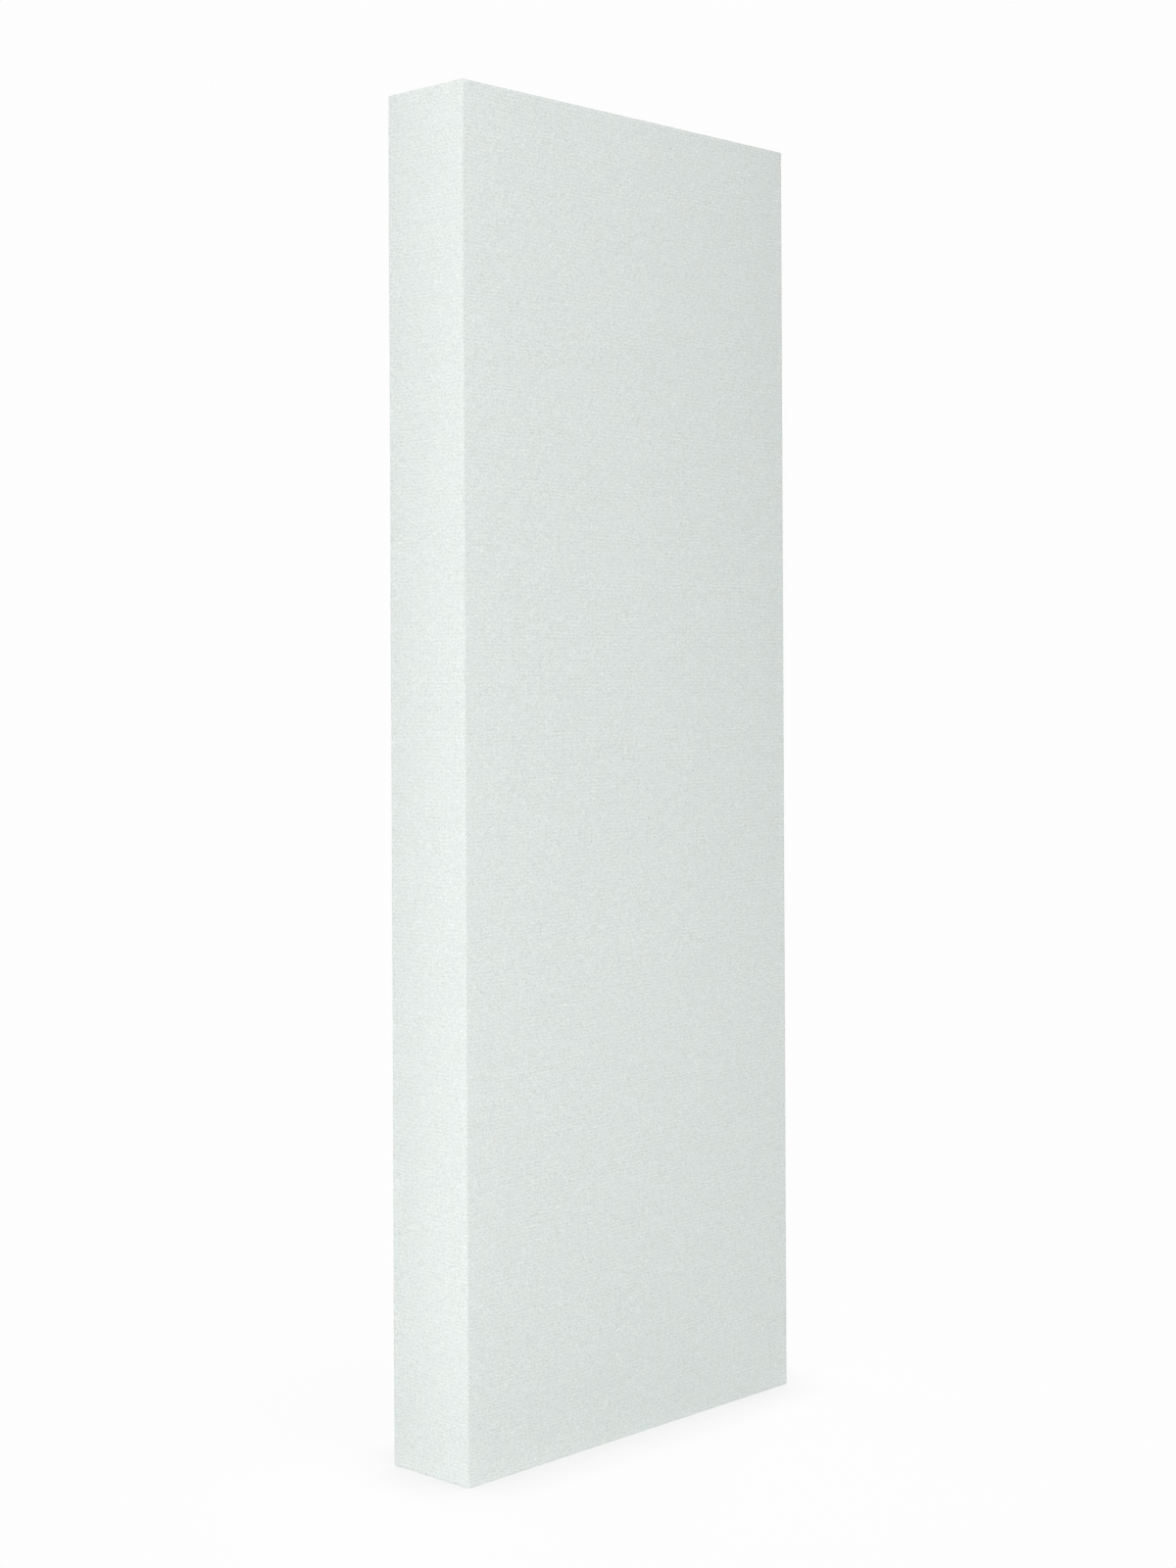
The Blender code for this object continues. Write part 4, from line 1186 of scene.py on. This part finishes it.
black_rubber, tree, shader = start_material("black_rubber", Specular_IOR_Level=0.35)
place = metres_on(tree)
mottle = place_group(tree, patches, place, Size=0.004, Firmness=0.2)
chalky = place_group(tree, rubbed, place, Width=0.0012, Breakup=0.6)
settled = place_group(tree, dust, place, Amount=0.5, Speck_size=0.0012)
colour = mix_colours(tree, mottle["Mask"], RUBBER_DARK, RUBBER_PALE)
colour = cover(tree, colour, chalky["Mask"], 0.5, RUBBER_CHALK)
colour = mix_colours(tree, settled["Mask"], colour, RUBBER_DUST)
pitted = clouds(tree, place, PITS_PER_METRE)[0]
dress(tree, shader, colour, ramp(tree, mottle["Mask"], 0, 1, 0.56, 0.72), pitted, PIT_DEPTH)
print("finish:", black_rubber.name)

# %% The boards' finish, once for each direction of the grain
BIRCH_DARK, BIRCH_PALE = (0.62, 0.47, 0.31), (0.70, 0.56, 0.39)
BIRCH_BAND, BIRCH_PORE, BIRCH_RUBBED = (0.45, 0.30, 0.17), (0.30, 0.19, 0.11), (0.76, 0.64, 0.48)
BIRCH_RELIEF = 0.00006
UPRIGHT_GRAIN, LEVEL_GRAIN = (0, 1, 2), (2, 1, 0)


def birch(name, order):
    """Birch with its grain along one axis. order swaps the axes so that the grain's own axis comes last."""
    material, tree, shader = start_material(name, Specular_IOR_Level=0.4)
    place = metres_on(tree)
    parts = parts_of(tree, place)
    turned = place_from(tree, *[parts[axis] for axis in order])
    wood = place_group(tree, grain, turned, Band=0.0042, Waviness=1.0)
    drawn_out = vectors(tree, "MULTIPLY", turned, (1, 1, 0.15))
    tone = place_group(tree, patches, drawn_out, Size=0.03, Firmness=0.0)
    worn = place_group(tree, rubbed, place, Width=0.0008, Breakup=0.7)
    colour = mix_colours(tree, tone["Mask"], BIRCH_DARK, BIRCH_PALE)
    colour = cover(tree, colour, wood["Bands"], 0.42, BIRCH_BAND)
    colour = cover(tree, colour, wood["Pores"], 0.5, BIRCH_PORE)
    colour = cover(tree, colour, worn["Mask"], 0.4, BIRCH_RUBBED)
    roughness = ramp(tree, wood["Bands"], 0, 1, 0.62, 0.5)
    dress(tree, shader, colour, roughness, wood["Height"], BIRCH_RELIEF)
    return material


birch_upright = birch("birch_upright", UPRIGHT_GRAIN)
birch_level = birch("birch_level", LEVEL_GRAIN)
print("finishes:", birch_upright.name, birch_level.name)

# %% Give the ready made solids their finishes
SOFT_NODES = {"cloth_wrap", "dust_cover", "fibre_veil", "front_wool_slab", "back_wool_slab"}


def finish_of(name):
    """The finish that a ready made solid takes, from what it is."""
    if "screw" in name or "hanger" in name:
        return zinc_steel
    if name.endswith("bumper"):
        return black_rubber
    return birch_upright if name.endswith("stile") else birch_level


for name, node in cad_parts.items():
    if name not in SOFT_NODES:
        for slot in node.material_slots:
            slot.material = finish_of(name)
print(len(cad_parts) - len(SOFT_NODES), "ready made solids refinished")

# %% [markdown]
# ## The wool slabs and their veil
# Mineral wool is cut, not moulded: its faces are matted and slightly uneven, and its narrow sides show thin
# layers. The slab fills its bay, so it is a full pad with soft corners. Small dents pushed into the skin,
# never out of it, keep it clear of the boards.

# %% The wool's finish
WOOL_DARK, WOOL_PALE, WOOL_HOLLOW_SHADE = (0.46, 0.36, 0.19), (0.56, 0.47, 0.29), (0.20, 0.14, 0.07)
WOOL_RELIEF = 0.0009

mineral_wool, tree, shader = start_material(
    "mineral_wool", Sheen_Weight=0.3, Sheen_Roughness=0.6, Specular_IOR_Level=0.2
)
place = metres_on(tree)
layers = vectors(tree, "MULTIPLY", place, (1.0, 6.0, 1.0))
matted = place_group(tree, fibres, layers, Size=0.0022, Length=5.0)
thin_layers = vectors(tree, "MULTIPLY", place, (0.3, 4.0, 1.0))
fine = place_group(tree, fibres, thin_layers, Size=0.0007, Length=1.0)
binder = place_group(tree, patches, layers, Size=0.03, Firmness=0.1)
strands = maths(tree, "MULTIPLY", maths(tree, "ADD", matted["Height"], fine["Height"]), 0.5)
colour = mix_colours(tree, binder["Mask"], WOOL_DARK, WOOL_PALE)
# Painted shade in the hollows between the strands.
colour = mix_colours(tree, ramp(tree, strands, 0.75, 0.15, 0.0, 0.75), colour, WOOL_HOLLOW_SHADE)
dress(tree, shader, colour, ramp(tree, strands, 0, 1, 1.0, 0.88), strands, WOOL_RELIEF)
print("finish:", mineral_wool.name)

# %% The veil's finish
VEIL_THIN, VEIL_HAIR, WOOL_THROUGH = (0.66, 0.66, 0.62), (0.86, 0.86, 0.84), (0.60, 0.57, 0.48)
VEIL_RELIEF = 0.0001

glass_tissue, tree, shader = start_material("glass_tissue", Sheen_Weight=0.15, Specular_IOR_Level=0.45)
place = metres_on(tree)
long_hairs = place_group(tree, fibres, place, Size=0.0006, Length=8.0)
crosswise = vectors(tree, "MULTIPLY", place, (1, 1, 0.12))
cross_hairs = place_group(tree, fibres, crosswise, Size=0.0006, Length=1.0)
thin_spots = place_group(tree, patches, place, Size=0.012, Firmness=0.0)
hairs = maths(tree, "MAXIMUM", long_hairs["Height"], cross_hairs["Height"])
colour = mix_colours(tree, hairs, VEIL_THIN, VEIL_HAIR)
colour = cover(tree, colour, thin_spots["Mask"], 0.25, WOOL_THROUGH)
dress(tree, shader, colour, ramp(tree, hairs, 0, 1, 0.85, 0.6), hairs, VEIL_RELIEF)
print("finish:", glass_tissue.name)

# %% Build the slabs
SLAB_ROUNDING = 0.0035
BROAD_DENTS, BROAD_PER_METRE = 0.0012, 22.0
LAYER_DENTS, LAYERS_PER_METRE = 0.0007, Vector((12, 420, 12))
SIDES_TO_FACES = (0.3, 0.8)
FACE_STEP, THROUGH_STEP = 0.014, 0.0035


def slab_push(place, out):
    """Dents of the matted surface. Only ever inwards, so the slab keeps clear of its frame."""
    broad = noise.noise(place * BROAD_PER_METRE)
    layered = noise.noise(place * LAYERS_PER_METRE)
    on_side = 1 - smooth_step(abs(out.y), *SIDES_TO_FACES)
    return -BROAD_DENTS * (0.5 + 0.5 * broad) - LAYER_DENTS * on_side * (0.5 + 0.5 * layered)


for name in ("front_wool_slab", "back_wool_slab"):
    low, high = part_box(name)
    ends = rounding_lines(SLAB_ROUNDING) + [0.008]
    lines = [
        lattice_lines(low.x, high.x, ends, FACE_STEP),
        lattice_lines(low.y, high.y, ends, THROUGH_STEP),
        lattice_lines(low.z, high.z, ends, FACE_STEP),
    ]
    skin = rounded_skin(lines, SLAB_ROUNDING, slab_push)
    slab = add_piece(name.replace("_slab", "_batt"), skin, mineral_wool)
    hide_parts(name)
    print(slab.name, "with", len(slab.data.polygons), "faces")

# %% Build the veil
VEIL_THICKNESS = 0.0004
VEIL_RIM, VEIL_STEP = [0, 0.004], 0.012
VEIL_WAVES_PER_METRE = 20
SLACK_USED = 0.9

veil_low, veil_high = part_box("fibre_veil")
veil_size = veil_high - veil_low


def veil_place(x, z):
    """The tissue lies on the wool and waves by a fraction of a millimetre."""
    slack = (veil_size.y - VEIL_THICKNESS) / 2
    wave = flutter(x, z, VEIL_WAVES_PER_METRE, 1.0)
    middle = (veil_low.y + veil_high.y) / 2
    return Vector((x, middle + VEIL_THICKNESS / 2 + slack * wave * SLACK_USED, z))


columns = lattice_lines(veil_low.x, veil_high.x, VEIL_RIM, VEIL_STEP)
rows = lattice_lines(veil_low.z, veil_high.z, VEIL_RIM, VEIL_STEP)
veil = add_piece("glass_veil", flat_sheet(columns, rows, veil_place), glass_tissue)
thicken(veil, VEIL_THICKNESS)
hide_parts("fibre_veil")
print("veil", [round(side, 3) for side in (veil_size.x, veil_size.z)], "m")
